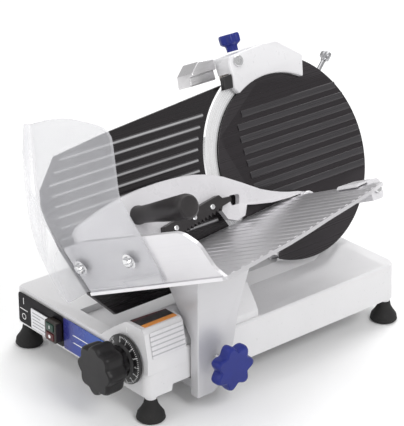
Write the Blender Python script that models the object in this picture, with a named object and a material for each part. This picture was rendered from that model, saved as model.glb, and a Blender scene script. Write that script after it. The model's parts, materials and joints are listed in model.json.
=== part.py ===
"""Deli meat slicer, gravity feed, 254 mm blade, belt driven.

Frame: +X is the operator's right, +Y points away from the operator, +Z is up,
heights count up from 3 mm above the table.  Lengths below are millimetres and
are scaled to metres when a mesh is made.
"""
import math

import bmesh
import bpy
from mathutils import Matrix, Vector

MM = 0.001
GAP = 0.3                      # clearance between neighbouring pieces

ORIGIN = Vector((65.889508, 7.569462, -3.0))

# ---- base casting -------------------------------------------------------
BASE_HX, BASE_HY = 128.8, 202.0     # half width, half depth
BASE_BOT, DECK = 29.0, 77.7         # underside and deck height
WALL = 5.0
POD_TOP = 116.0                     # raised front right corner with the dial
FOOT_X, FOOT_Y = 121.0, 192.0
FOOT_R = 17.5

# ---- blade and its tilted frame ----------------------------------------
TILT = math.radians(24.9)
HUB = Vector((-4.4, 132.8, 198.0))  # centre of the cutting edge
BLADE_R = 127.0
COVER_R = 107.2
SHROUD_R = 131.0

# ---- gauge plate ---------------------------------------------------------
GAUGE_T = 8.0
RIB_PITCH = 12.8
DIAL = Vector((93.0, -202.0, 69.0))

# ---- carriage ------------------------------------------------------------
PITCH = math.radians(4.7)           # tray floor rises gently away from operator
TRAY_T = 4.0
LEAN = math.radians(19.0)           # front wall leans towards the operator
ROD_Y, ROD_V = 130.5, -58.0
ROD_R = 5.0
COLUMN_X0, COLUMN_X1 = 132.0, 146.0
SLIDE_X, SLIDE_Z = 90.0, 44.0

N = Vector((math.cos(TILT), 0, math.sin(TILT)))      # out of the blade face
V = Vector((-math.sin(TILT), 0, math.cos(TILT)))     # up along the blade face
Y = Vector((0, 1, 0))


def basis(origin, x, y, z):
    m = Matrix((
        (x.x, y.x, z.x, origin.x * MM),
        (x.y, y.y, z.y, origin.y * MM),
        (x.z, y.z, z.z, origin.z * MM),
        (0, 0, 0, 1)))
    return m


WORLD = Matrix.Identity(4)
BLADE = basis(HUB, Y, V, N)                          # a along Y, b up, c out


def blade_point(a, b, c):
    return HUB + Y * a + V * b + N * c


def blade_at(a, b, c):
    return basis(blade_point(a, b, c), Y, V, N)


TRAY_O = HUB + N * 3.0 + V * -75.6
TRAY_O.y = -206.0
D = (Y * math.cos(PITCH) + V * math.sin(PITCH)).normalized()
M = N.cross(D).normalized()
TRAY = basis(TRAY_O, N, D, M)
W = (V * math.cos(LEAN) - Y * math.sin(LEAN)).normalized()
WALLF = basis(TRAY_O, N, W, N.cross(W).normalized())  # local z faces operator


def at(x, y, z):
    return Matrix.Translation(Vector((x, y, z)) * MM)


def along_y(x, y, z):
    """Lathe axis along -Y (towards the operator)."""
    return basis(Vector((x, y, z)), Vector((1, 0, 0)), Vector((0, 0, 1)),
                 Vector((0, -1, 0)))


def along_x(x, y, z):
    return basis(Vector((x, y, z)), Vector((0, 1, 0)), Vector((0, 0, 1)),
                 Vector((1, 0, 0)))


# ---------------------------------------------------------------- materials
def material(name, rgb, rough=0.5, metal=0.0, alpha=1.0):
    m = bpy.data.materials.new(name)
    m.use_nodes = True
    p = m.node_tree.nodes["Principled BSDF"]
    p.inputs["Base Color"].default_value = (*rgb, 1)
    p.inputs["Roughness"].default_value = rough
    p.inputs["Metallic"].default_value = metal
    p.inputs["Alpha"].default_value = alpha
    m.diffuse_color = (*rgb, alpha)
    return m


CAST = ((0.80, 0.80, 0.80), 0.45, 0.1)
WHITE = ((0.85, 0.84, 0.86), 0.4, 0.0)
ALU = ((0.70, 0.69, 0.71), 0.3, 0.9)
STEEL = ((0.62, 0.62, 0.63), 0.25, 1.0)
DARK = ((0.055, 0.050, 0.053), 0.45, 0.2)
BLACK = ((0.02, 0.02, 0.02), 0.5, 0.0)
RUBBER = ((0.025, 0.025, 0.025), 0.8, 0.0)
BLUE = ((0.03, 0.05, 0.38), 0.4, 0.0)


# ------------------------------------------------------------------- meshes
def make(name, bm, look, frame=WORLD, sharp=35.0):
    bmesh.ops.remove_doubles(bm, verts=bm.verts, dist=0.0005)
    bmesh.ops.recalc_face_normals(bm, faces=bm.faces)
    bmesh.ops.scale(bm, vec=(MM, MM, MM), verts=bm.verts)
    me = bpy.data.meshes.new(name)
    bm.to_mesh(me)
    bm.free()
    ob = bpy.data.objects.new(name, me)
    bpy.context.collection.objects.link(ob)
    ob.matrix_world = frame
    if look:
        me.materials.append(material(name + "_finish", *look))
    me.shade_smooth()
    me.set_sharp_from_angle(angle=math.radians(sharp))
    return ob


def settle(ob, sharp=35.0):
    """Apply the modifiers of a piece."""
    bpy.context.view_layer.update()
    dg = bpy.context.evaluated_depsgraph_get()
    me = bpy.data.meshes.new_from_object(ob.evaluated_get(dg))
    old = ob.data
    ob.modifiers.clear()
    ob.data = me
    bpy.data.meshes.remove(old)
    me.name = ob.name
    me.shade_smooth()
    me.set_sharp_from_angle(angle=math.radians(sharp))
    return ob


def combine(ob, others, operation):
    for i, other in enumerate(others):
        mod = ob.modifiers.new("cut%d" % i, "BOOLEAN")
        mod.operation = operation
        mod.solver = "EXACT"
        mod.object = other
        other.hide_render = True
        other.display_type = "WIRE"
    settle(ob)
    for other in others:
        bpy.data.objects.remove(other)
    return ob


def cut(ob, *cutters):
    return combine(ob, cutters, "DIFFERENCE")


def join(ob, *others):
    return combine(ob, others, "UNION")


def bevel(ob, width, segments=3, angle=40.0):
    mod = ob.modifiers.new("soft", "BEVEL")
    mod.width = width * MM
    mod.segments = segments
    mod.limit_method = "ANGLE"
    mod.angle_limit = math.radians(angle)
    mod.use_clamp_overlap = True
    mod.harden_normals = False
    return settle(ob)


def lathe(name, profile, look=None, frame=WORLD, segments=24, start=0.0,
          turn=360.0):
    """Turned piece: profile is (radius, height); full turns close on
    themselves, part turns get end faces."""
    bm = bmesh.new()
    full = turn >= 360.0
    n = segments if full else segments + 1
    rings = []
    for r, h in profile:
        if r < 1e-6:
            rings.append([bm.verts.new((0, 0, h))])
            continue
        ring = []
        for i in range(n):
            t = math.radians(start + turn * i / segments)
            ring.append(bm.verts.new((r * math.cos(t), r * math.sin(t), h)))
        rings.append(ring)
    closed = profile[0][0] > 1e-6 and profile[-1][0] > 1e-6
    pairs = list(zip(rings, rings[1:]))
    if closed:
        pairs.append((rings[-1], rings[0]))
    m = n if full else n - 1
    for p, q in pairs:
        for i in range(m):
            j = (i + 1) % n
            if len(p) == 1 and len(q) == 1:
                continue
            if len(p) == 1:
                bm.faces.new((p[0], q[i], q[j]))
            elif len(q) == 1:
                bm.faces.new((p[i], q[0], p[j]))
            else:
                bm.faces.new((p[i], q[i], q[j], p[j]))
    if not full:
        bm.faces.new([r[0] for r in rings])
        bm.faces.new([r[-1] for r in reversed(rings)])
    return make(name, bm, look, frame)


def prism(name, outline, h0, h1, look=None, frame=WORLD, sharp=35.0):
    bm = bmesh.new()
    lo = [bm.verts.new((x, y, h0)) for x, y in outline]
    hi = [bm.verts.new((x, y, h1)) for x, y in outline]
    bm.faces.new(list(reversed(lo)))
    bm.faces.new(hi)
    n = len(outline)
    for i in range(n):
        j = (i + 1) % n
        bm.faces.new((lo[i], lo[j], hi[j], hi[i]))
    return make(name, bm, look, frame, sharp)


def box(name, x0, x1, y0, y1, z0, z1, look=None, frame=WORLD):
    return prism(name, [(x0, y0), (x1, y0), (x1, y1), (x0, y1)], z0, z1,
                 look, frame)


def xz_prism(name, outline, y0, y1, look=None, sharp=35.0):
    """Outline in X and Z, extruded from y0 to y1."""
    frame = basis(Vector((0, 0, 0)), Vector((1, 0, 0)), Vector((0, 0, 1)),
                  Vector((0, -1, 0)))
    return prism(name, outline, -y1, -y0, look, frame, sharp)


def yz_prism(name, outline, x0, x1, look=None, sharp=35.0):
    frame = basis(Vector((0, 0, 0)), Vector((0, 1, 0)), Vector((0, 0, 1)),
                  Vector((1, 0, 0)))
    return prism(name, outline, x0, x1, look, frame, sharp)


def rounded(points, radius, steps=5):
    """Outline with its corners rounded; radius is a number or one per
    corner."""
    out = []
    n = len(points)
    for i in range(n):
        r = radius[i] if isinstance(radius, (list, tuple)) else radius
        p = Vector(points[i])
        a = Vector(points[i - 1]) - p
        b = Vector(points[(i + 1) % n]) - p
        if r <= 0.01:
            out.append(tuple(p))
            continue
        ang = a.angle(b)
        if ang > math.radians(176):
            out.append(tuple(p))
            continue
        t = min(r / math.tan(ang / 2), a.length * 0.49, b.length * 0.49)
        r2 = t * math.tan(ang / 2)
        a.normalize()
        b.normalize()
        centre = p + (a + b).normalized() * (r2 / math.sin(ang / 2))
        s, e = p + a * t - centre, p + b * t - centre
        a0, a1 = math.atan2(s.y, s.x), math.atan2(e.y, e.x)
        while a1 - a0 > math.pi:
            a1 -= 2 * math.pi
        while a1 - a0 < -math.pi:
            a1 += 2 * math.pi
        for k in range(steps + 1):
            t2 = a0 + (a1 - a0) * k / steps
            out.append((centre.x + r2 * math.cos(t2),
                        centre.y + r2 * math.sin(t2)))
    return out


def arc(cx, cy, r, a0, a1, steps):
    return [(cx + r * math.cos(math.radians(a0 + (a1 - a0) * i / steps)),
             cy + r * math.sin(math.radians(a0 + (a1 - a0) * i / steps)))
            for i in range(steps + 1)]


def lobed(radius, depth, lobes, steps=8, flat=0.45):
    """Outline of a hand knob with rounded lobes."""
    out = []
    n = lobes * steps
    for i in range(n):
        t = 2 * math.pi * i / n
        w = 0.5 + 0.5 * math.cos(lobes * t)
        r = radius - depth * (1 - w ** flat)
        out.append((r * math.cos(t), r * math.sin(t)))
    return out


def stacked(name, layers, look=None, frame=WORLD, sharp=35.0):
    """Loft through outlines of equal length: (outline, height)."""
    bm = bmesh.new()
    rings = [[bm.verts.new((x, y, h)) for x, y in o] for o, h in layers]
    n = len(rings[0])
    for p, q in zip(rings, rings[1:]):
        for i in range(n):
            j = (i + 1) % n
            bm.faces.new((p[i], p[j], q[j], q[i]))
    bm.faces.new(list(reversed(rings[0])))
    bm.faces.new(rings[-1])
    return make(name, bm, look, frame, sharp)


def scaled(outline, k, kx=None):
    return [(x * (k if kx is None else kx), y * k) for x, y in outline]


def rod(name, r, length, look=None, frame=WORLD, chamfer=0.6, segments=14):
    c = min(chamfer, r * 0.4)
    return lathe(name, [(0, 0), (r - c, 0), (r, c), (r, length - c),
                        (r - c, length), (0, length)], look, frame, segments)


def tube(name, r_in, r_out, length, look=None, frame=WORLD, segments=20):
    return lathe(name, [(r_in, 0), (r_out, 0), (r_out, length),
                        (r_in, length)], look, frame, segments)


for ob in list(bpy.data.objects):
    bpy.data.objects.remove(ob)

# ===================================================================== base
plan = rounded([(-BASE_HX, -BASE_HY), (BASE_HX, -BASE_HY),
                (BASE_HX, BASE_HY), (-BASE_HX, BASE_HY)], [7, 12, 12, 10], 5)
grow = [(x * 1.012, y * 1.006) for x, y in plan]
base = stacked("base_casting", [(grow, BASE_BOT), (plan, DECK - 2.0),
                                ([(x * 0.988, y * 0.993) for x, y in plan],
                                 DECK)], CAST)
# The raised corner that carries the thickness dial: its top is a hump that
# runs back along the right side and rounds over to the right.
hump = rounded([(34, 70), (48, 84), (70, 101), (92, POD_TOP), (120.4, POD_TOP),
                (124.5, 111), (130.6, 80), (130.3, 60), (60, 60)],
               [0, 22, 30, 14, 4, 4, 12, 0, 0], 4)
pod = xz_prism("pod", hump, -BASE_HY - 1.0, -146.0)
# behind the column's parking place it is cut lower to let the column pass
hump_rear = rounded([(35, 69), (49, 83), (70.6, 100), (90, POD_TOP - 1.2),
                     (103, POD_TOP - 1.2), (124, 86), (126, 57), (60, 57)],
                    [0, 22, 30, 10, 6, 4, 0, 0], 4)
pod_rear = xz_prism("pod_rear", hump_rear, -147.0, -28.0)
join(base, pod)
join(base, pod_rear)

# recess beside the hump for the foot of the gauge plate
recess = xz_prism("recess", [(-26, 69), (60, 69), (60, 90), (66, 130),
                             (-26, 130)], -182, -36)
# scooped deck under the blade: falls away from the sharp right hand edge
scoop = xz_prism("scoop", [(127.4, 78.4), (78, 61), (34, 61), (27, 90),
                           (127.4, 90)], -28.6, 206)
ramp = yz_prism("ramp", [(-28.6, 140), (-28.6, 55), (140, 55), (184, 79),
                         (206, 79), (206, 140)], 20, 140)
# the scoop fades out towards the rear, so keep only its overlap with ramp
mod = scoop.modifiers.new("keep", "BOOLEAN")
mod.operation = "INTERSECT"
mod.solver = "EXACT"
mod.object = ramp
ramp.hide_render = True
ramp.display_type = "WIRE"
settle(scoop)
bpy.data.objects.remove(ramp)
cut(base, recess)
cut(base, scoop)
inner = box("inner", -BASE_HX + WALL + 2, 20.5, -BASE_HY + WALL,
            BASE_HY - WALL, 10, 63.5)
join(inner, box("inner2", -BASE_HX + WALL + 2.4, -31, -BASE_HY + WALL + 0.4,
                BASE_HY - WALL - 0.4, 50, DECK - WALL))
join(inner, box("inner3", 19, BASE_HX - WALL - 0.5, -BASE_HY + WALL + 0.7,
                BASE_HY - WALL - 0.7, 9, 55.5))
join(inner, box("inner4", 66, BASE_HX - WALL - 3, -BASE_HY + WALL + 1.1, -151,
                50, 106))
join(inner, box("inner5", 67.3, 103.4, -158, -41.3, 51, 103.6))
# opening in the deck below the motor housing
join(inner, box("well", -92, 18, 92, 178, 40, 100))
cut(base, inner)
cut(base, rod("shaft_hole", 5.4, 30, None,
              along_y(DIAL.x, -190, DIAL.z), 0.1))
cut(base, yz_prism("side_relief", [(-172, 8), (-166, 37), (-60, 37),
                                   (-56, 8)], 100, 150))
for sx in (-1, 1):
    for sy in (-1, 1):
        boss = lathe("boss", [(0, 24.4), (7.0, 24.4), (7.4, 40), (7.4, 60),
                              (0, 60)], None,
                     at(sx * FOOT_X, sy * FOOT_Y, 0), 16)
        join(base, boss)

prism("bottom_plate",
      rounded([(-108, -160), (66, -160), (66, 160), (-108, 160)], 10, 4),
      27.2, 28.7, STEEL)

foot_profile = [(0, -3.0), (15.8, -3.0), (17.5, -0.8), (16.2, 5.4),
                (12.2, 11.0), (8.8, 17.0), (7.2, 24.1), (0, 24.1)]
for name, sx, sy in (("front_left", -1, -1), ("front_right", 1, -1),
                     ("rear_right", 1, 1), ("rear_left", -1, 1)):
    lathe("foot_" + name, foot_profile, RUBBER,
          at(sx * FOOT_X, sy * FOOT_Y, 0), 20)


# ============================================================ front controls
FY = -BASE_HY - 2.6            # just clear of the drafted front face


def plate_front(name, x0, x1, z0, z1, y_in, y_out, look, r=3.0):
    return xz_prism(name, rounded([(x0, z0), (x1, z0), (x1, z1), (x0, z1)],
                                  r, 4), y_out, y_in, look)


plate_front("control_panel", -121, -28.5, 33, 74, FY, FY - 1.2, BLACK, 4)
plate_front("badge_plate", -28.1, 52, 33, 74, FY, FY - 1.2, BLUE, 2)
plate_front("rating_plate", -93, -58, 35, 62, FY - 1.5, FY - 3.0, CAST, 1.5)
housing = plate_front("switch_housing", -52, -29.5, 40, 67, FY - 1.5,
                      FY - 12, BLACK, 3)
bevel(housing, 1.0, 1)
for zc in (59.8, 47.2):
    cut(housing, plate_front("pocket", -48.6, -33, zc - 5.2, zc + 5.2,
                             FY - 6, FY - 20, None, 1.5))
for name, zc, look in (("start_button", 59.8, ((0.01, 0.09, 0.05), 0.4, 0.0)),
                       ("stop_button", 47.2, ((0.16, 0.01, 0.01), 0.4, 0.0))):
    b = plate_front(name, -48.2, -33.4, zc - 4.8, zc + 4.8, FY - 9.4,
                    FY - 13.2, look, 1.2)
    bevel(b, 0.8, 1)

# thickness dial, knob and spindle turn together
DY = -BASE_HY - 3.2
dial = lathe("dial_plate", [(6.4, 0), (29.0, 0), (30.5, 0.8), (30.5, 3.2),
                            (29.4, 4.2), (21.5, 6.0), (19.0, 9.0),
                            (6.4, 9.0)], BLACK,
             along_y(DIAL.x, DY, DIAL.z), 32)
grip = []
for h, k in ((0, 0.62), (8, 0.66), (12, 0.90), (16, 0.98), (34, 1.0),
             (37.5, 0.955), (38.5, 0.90)):
    grip.append((scaled(lobed(32.0, 4.6, 8, 6, 0.8), k), h))
knob = stacked("thickness_knob", grip, BLACK,
               along_y(DIAL.x, DY - 9.4, DIAL.z), 28)
rod("thickness_spindle", 5.0, 150, STEEL, along_y(DIAL.x, DY - 9.0, DIAL.z) @
    Matrix.Translation((0, 0, -0.150)))
cam = prism("thickness_cam",
            [((7.4 + 2.4 * i / 32) * math.cos(math.radians(11.25 * i)),
              (7.4 + 2.4 * i / 32) * math.sin(math.radians(11.25 * i)))
             for i in range(32)], -6, 6, STEEL,
            along_y(DIAL.x, -120, DIAL.z))
cut(cam, rod("hole", 5.3, 40, None, along_y(DIAL.x, -100, DIAL.z), 0.1))

# generic blank label at the raised corner
label = prism("label_top", [(94, -199), (118.5, -197), (118.5, -150), (98, -150)],
              POD_TOP + 0.4, POD_TOP + 1.2, BLACK)
xz_prism("label_side", [(131.1, 80.1), (131.9, 80.3), (125.8, 111.3),
                        (125.0, 111.1)], -196, -147.5, WHITE)

# power inlet at the rear, without a cord
gland = lathe("cable_inlet", [(0, 0), (11, 0), (11, 3), (8.5, 5), (8.5, 15),
                              (7.2, 17), (4.2, 17), (4.2, 4), (0, 4)], BLACK,
              basis(Vector((-70, BASE_HY + 2.4, 52)), Vector((-1, 0, 0)),
                    Vector((0, 0, 1)), Vector((0, 1, 0))), 16)

# ==================================================================== drive
tower = lathe("motor_housing", [(0, -64), (76, -64), (88, -56), (90, -50),
                                (90, -19.5), (0, -19.5)], CAST, BLADE, 36)
pedestal = xz_prism("pedestal", rounded([(-116, DECK + GAP), (22, DECK + GAP),
                                         (22, 140), (-36, 200), (-92, 186),
                                         (-116, 152)],
                                        [0, 0, 0, 12, 14, 14], 4), 86, 182)
front_cut = prism("front_cut", [(-200, -260), (200, -260), (200, 200),
                                (-200, 200)], -19.5, 120, None, BLADE)
cut(pedestal, front_cut)
join(tower, pedestal)
hollow = xz_prism("hollow", [(-111, 60), (17, 60), (17, 136), (-40, 193),
                             (-90, 180), (-111, 150)], 91, 177)
front_cut = prism("front_cut", [(-200, -260), (200, -260), (200, 200),
                                (-200, 200)], -25.2, 120, None, BLADE)
cut(hollow, front_cut)
drum = lathe("drum", [(0, -60), (83, -60), (83, -24), (0, -24)], None, BLADE,
             36)
cut(tower, hollow)
cut(tower, drum)
cut(tower, lathe("bore", [(0, -30), (15.2, -30), (15.2, -10), (0, -10)], None,
                 BLADE, 32))

blade = lathe("blade", [(0, -10), (104.5, -10), (107.6, -2.4),
                        (BLADE_R, -1.0), (118, -8.0), (108, -15.0),
                        (0, -16.0)], STEEL, BLADE, 64)
lathe("blade_shaft", [(0, -58), (7.5, -58), (8, -57.5), (8, -19.2), (24, -19.2),
                      (24, -16.4), (0, -16.4)], STEEL, BLADE, 32)
lathe("blade_pulley", [(8.3, -54), (14, -54), (14, -51.5), (42, -51.0),
                       (40, -49.3), (40, -38.7), (42, -37.0), (14, -36.5),
                       (8.3, -34.5)], ALU, BLADE, 24)
tube("bearing", 8.3, 14.9, 9.0, STEEL, blade_at(0, 0, -28.6))
MB = -62.0
lathe("motor", [(0, -104), (30, -104), (33, -101), (33, -62), (30, -59),
                (12, -59), (12, -57.6), (5.3, -57.6), (5.3, -62), (0, -62)],
      DARK, blade_at(0, MB, 0), 20)
lathe("motor_shaft", [(0, -61.6), (5, -61.6), (5, -34.5), (0, -34.5)], STEEL,
      blade_at(0, MB, 0), 24)
lathe("motor_pulley", [(5.3, -53), (12.5, -53), (12.5, -50.6), (10.5, -49.4),
                       (10.5, -38.6), (12.5, -37.4), (12.5, -36), (5.3, -36)],
      ALU, blade_at(0, MB, 0), 20)


def belt_loop(r0, r1, gap, n=24):
    """Loop round pulley r0 at the origin and r1 at (0, -gap)."""
    phi = math.degrees(math.asin((r0 - r1) / gap))
    return (arc(0, 0, r0, -phi, 180 + phi, n)
            + arc(0, -gap, r1, 180 + phi, 360 - phi, n // 2))


bm = bmesh.new()
loops = []
for r0, r1, c in ((40.3, 10.8, -49), (42.3, 12.8, -49), (42.3, 12.8, -39),
                  (40.3, 10.8, -39)):
    loops.append([bm.verts.new((x, y, c)) for x, y in
                  belt_loop(r0, r1, -MB)])
for i in range(4):
    p, q = loops[i], loops[(i + 1) % 4]
    for k in range(len(p)):
        j = (k + 1) % len(p)
        bm.faces.new((p[k], p[j], q[j], q[k]))
make("drive_belt", bm, RUBBER, BLADE)

# ============================================ blade cover, ring and deflector
EXT0, EXT1 = -115.0, 62.0       # the cover laps over the edge on this side
cover_outline = (arc(0, 0, SHROUD_R, EXT0, EXT1, 32)
                 + arc(0, 0, COVER_R, EXT1 + 1.0, 360 + EXT0 - 1.0, 48))
cover = prism("blade_cover", cover_outline, -0.5, 1.0, DARK, BLADE)
join(cover, lathe("disc", [(0, -6.5), (103.5, -6.5), (COVER_R - 0.5, -0.8),
                           (COVER_R - 0.5, 0.5), (0, 0.5)], None, BLADE, 48))


def ridges(name, rows, width, height, base_h, frame, steps=4):
    """Rounded ribs along local x: rows are (y, x0, x1)."""
    bm = bmesh.new()
    for yc, x0, x1 in rows:
        prof = [(-width / 2, base_h)]
        for i in range(steps + 1):
            t = math.pi * i / steps
            prof.append((-width / 2 * math.cos(t) * 0.98,
                         base_h + 0.6 + height * math.sin(t)))
        prof.append((width / 2, base_h))
        lo = [bm.verts.new((x0, yc + p, h)) for p, h in prof]
        hi = [bm.verts.new((x1, yc + p, h)) for p, h in prof]
        bm.faces.new(list(reversed(lo)))
        bm.faces.new(hi)
        for i in range(len(prof)):
            j = (i + 1) % len(prof)
            bm.faces.new((lo[i], lo[j], hi[j], hi[i]))
    return make(name, bm, None, frame)


rows = []
for i in range(8):
    b = 69.0 - 15.3 * i
    right = math.sqrt(SHROUD_R ** 2 - b ** 2) - 1.6
    left = -math.sqrt(COVER_R ** 2 - b ** 2) + 30
    rows.append((b, max(left, -64), right))
join(cover, ridges("ribs", rows, 6.4, 1.1, 0.3, BLADE))

lathe("ring_guard", [(128.4, -13), (131.4, -13), (131.8, -12.5),
                     (131.6, -0.9), (128.4, -0.9)], DARK,
      BLADE, 40, -112.0, 173.0)
lathe("slice_deflector", [(100.0, -58), (101.4, -58), (101.4, -19.2),
                          (100.0, -19.2)], STEEL, BLADE, 24, 148.0, 84.0)
knob_dir = (Y * 0.785 + V * 0.62).normalized()
post_at = HUB + N * -30 + knob_dir * 91.0
post_frame = basis(post_at, N, knob_dir.cross(N).normalized(), knob_dir)
lathe("guard_release_stem", [(0, 0), (5, 0), (5, 4), (3, 6), (3, 73), (0, 73)],
      STEEL, post_frame, 20)
knob_frame = basis(post_at + knob_dir * 73.5, N,
                   knob_dir.cross(N).normalized(), knob_dir)
rel = stacked("guard_release_knob",
              [(scaled(lobed(8.0, 2.0, 3, 6, 0.8), k), h) for h, k in
               ((0, 0.5), (3, 0.55), (5, 0.95), (11, 1.0), (12.5, 0.85))],
              STEEL, knob_frame, 30)

# =============================================================== gauge plate
G0 = BLADE_R + 2.6
gp = ([(-66.0, 111.5)] + [(-256.0, 96.6), (-331.0, 88.0), (-361.5, 55.0),
                          (-366.5, 36.0), (-364.8, 18.0), (-358.9, -17.0),
                          (-338.5, -78.0), (-311.0, -111.0), (-66.6, -111.0)])
edge = arc(0, 0, G0, 239.0, 121.0, 26)
outline = gp[1:-1] + edge
gauge = prism("gauge_plate", outline, -GAUGE_T, -0.6, DARK, BLADE)
bevel(gauge, 0.8, 1, 60)
rows = []
for i in range(11):
    b = 82.3 - RIB_PITCH * i
    r = math.sqrt(G0 ** 2 - b ** 2) + 9
    left = -352.0
    if b > 55:
        left = -361.5 + (b - 55) * 0.92 + 8
    elif b < 0:
        left = -358 + (-b) * 0.34
    rows.append((b, left, -r))
join(gauge, ridges("ribs", rows, 5.6, 1.0, -1.4, BLADE))

bracket = prism("gauge_bracket", rounded([(-292, -104), (-188, -104),
                                          (-188, -58), (-216, -34),
                                          (-264, -34), (-292, -58)], 8, 3),
                -32, -GAUGE_T - GAP, CAST, BLADE)
bevel(bracket, 1.5, 1)
cut(bracket, rod("hole", 8.3, 60, None, blade_at(-240, -76, -60), 0.1, 14))
rod("gauge_guide_rod", 8.0, 72, STEEL, blade_at(-240, -76, -82))
gpost = yz_prism("gauge_guide_post",
                 rounded([(-126, DECK + GAP), (-88, DECK + GAP), (-88, 104),
                          (-98, 118), (-116, 118), (-126, 104)], 6, 3),
                 -66, -44, CAST)
cut(gpost, rod("hole", 8.3, 120, None, blade_at(-240, -76, -120), 0.1, 14))

# ================================================================= sharpener
# grinding housing over the top of the blade
outer = ([(-58, 104), (-55, 118), (-55, 136), (-50, 143.0), (6, 147),
          (28, 146), (64, 119), (57, 92)])
inner = arc(0, 0, 107.6, 58.5, 118.5, 18)
sc = prism("sharpener_cover", outer[:-1] + [(56.0, 92.0)] + inner[1:], -34,
           9.5, WHITE, BLADE)
bevel(sc, 2.2, 2, 50)
slot = lathe("slot", [(60, -20), (134.0, -20), (134.0, 2.2), (60, 2.2)], None,
             BLADE, 80, 40, 100)
cut(sc, slot)
back_cut = prism("back_cut", [(-80, 60), (80, 60), (80, 137), (-80, 137)],
                 -60, -19, None, BLADE)
cut(sc, back_cut)
body = prism("sharpener_body", rounded([(-101, 119), (-59.5, 119),
                                        (-59.5, 144.5), (-84, 147),
                                        (-98, 135)], 2.0, 3), -46, -13,
             ALU, BLADE)
wedge = prism("wedge", [(-120, 110), (-40, 110), (-40, 132), (-120, 130)],
              -19, -5, None, BLADE)
cut(body, wedge)
bevel(body, 1.2, 1)
lathe("grinding_stone", [(0, 0), (13, 0), (14, 1), (14, 7), (13, 8), (0, 8)],
      ((0.45, 0.42, 0.38), 0.9, 0.0), blade_at(-34, 117.0, -28), 20)
lathe("truing_stone", [(0, 0), (8, 0), (8.6, 0.6), (8.6, 5.4), (8, 6),
                       (0, 6)], ((0.85, 0.83, 0.78), 0.9, 0.0),
      blade_at(-6, 119.0, -27), 16)
knob_axis = basis(blade_point(-29, 147.2, -10), Y, N * -1.0, V)
sk = stacked("sharpener_knob",
             [(scaled(lobed(14.0, 2.4, 6, 5, 0.8), k), h) for h, k in
              ((0, 0.55), (7, 0.60), (10, 0.92), (12, 1.0), (20, 1.0),
               (22, 0.92))], BLUE, knob_axis, 30)
lathe("sharpener_screw", [(0, 0), (7.6, 0), (7.6, 1.4), (6.6, 2.4), (4.2, 2.4),
                          (4.2, 1.3), (0, 1.3)], STEEL,
      blade_at(-41, 134.5, 9.8), 16)
prism("sharpener_catch", [(-72, 104), (-58.6, 104), (-55.8, 117.5),
                          (-55.8, 121), (-69, 119.5)], 0.9, 8.8, BLACK, BLADE)

# ================================================================== carriage
# ribbed tray with its leaning front wall
floor_edge = [(0.0, -2.0), (258.0, -2.0), (263.0, 3.0), (261.0, 24.0),
              (257.0, 51.0), (248.0, 108.0), (236.0, 152.0), (223.0, 190.0),
              (208.0, 245.0), (194.0, 288.0), (180.0, 322.0),
              (176.0, 326.0), (0.0, 326.0)]
tray = prism("tray", floor_edge, -TRAY_T, 0.0, ALU, TRAY)
wall_edge = rounded([(0.0, -3.6), (0.0, 62.0), (44.0, 66.5), (232.0, 60.0),
                     (249.5, 42.0), (251.0, 12.0), (262.0, -3.6)],
                    [0, 4, 40, 26, 16, 22, 0], 6)
wall = prism("front_wall", wall_edge, -4.0, 0.0, None, WALLF)
join(tray, wall)
rows = []
for i in range(20):
    d = 14.0 + i * 15.8
    right = 0.0
    for p, q in zip(floor_edge[2:-2], floor_edge[3:-1]):
        if p[1] <= d <= q[1]:
            right = p[0] + (q[0] - p[0]) * (d - p[1]) / (q[1] - p[1])
    rows.append((d, 2.0, right - 3.5))
join(tray, ridges("ribs", rows, 6.4, 1.2, -1.0, TRAY, 4))
# far edge fitting for the inner end of the pusher rod
ry = ROD_Y - HUB.y
ear = prism("ear", rounded([(ry - 24, ROD_V + 6.9), (ry + 7.6, ROD_V + 7.6),
                            (ry + 7.6, ROD_V - 7.6), (ry - 24, ROD_V - 7.6)],
                           [0, 6, 6, 3], 4), 4.0, 12.0, None, BLADE)
cut(ear, rod("hole", ROD_R + GAP, 40, None,
             blade_at(ry, ROD_V, -10), 0.1, 14))
join(tray, ear)

# bracket at the far outer corner of the tray
bracket2 = prism("rod_bracket",
                 rounded([(ry - 30, ROD_V + 13.5), (ry + 9.5, ROD_V + 12.5),
                          (ry + 9.5, ROD_V - 13), (ry - 9.0, ROD_V - 13),
                          (ry - 30, ROD_V + 2)],
                         [8, 8, 6, 4, 2], 3), 115, 152, WHITE, BLADE)
under = box("under", 100, 200, 200, 326.4, -30.0, GAP + 1.7, None, TRAY)
cut(bracket2, under)
cut(bracket2, rod("hole", ROD_R + GAP, 200, None, blade_at(ry, ROD_V, 50),
                  0.1, 14))
rod("pusher_rod", ROD_R, 152, STEEL, blade_at(ry, ROD_V, 5.0), 0.8, 16)

# column under the tray, outside the base, with the foot that reaches in
# below the wall of the base to the slide block
col = xz_prism("carriage_column",
               [(92, 142), (86, 152), (86, 240), (COLUMN_X1, 240),
                (COLUMN_X1, 14.5), (COLUMN_X0, 14.5), (COLUMN_X0, 88),
                (129.5, 92)], -141, -50, CAST)
profile = yz_prism("profile", [(-141, 14), (-118, 14), (-104, 24), (-94, 46),
                               (-86, 72), (-79, 109), (-66, 150), (-52, 186),
                               (-48, 240), (-200, 240), (-200, 14)], 60, 160)
mod = col.modifiers.new("keep", "BOOLEAN")
mod.operation = "INTERSECT"
mod.solver = "EXACT"
mod.object = profile
profile.hide_render = True
profile.display_type = "WIRE"
settle(col)
bpy.data.objects.remove(profile)
above = box("above", -60, 320, -40, 420, -TRAY_T - GAP, 200, None, TRAY)
cut(col, above)
bevel(col, 1.2, 1, 40)
foot_arm = box("foot_arm", 79, 140, -130, -108, 14.5, 26.0)
hanger = box("hanger", 79, 101, -130, -108, 20, 31.7)
join(col, foot_arm, hanger)

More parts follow.
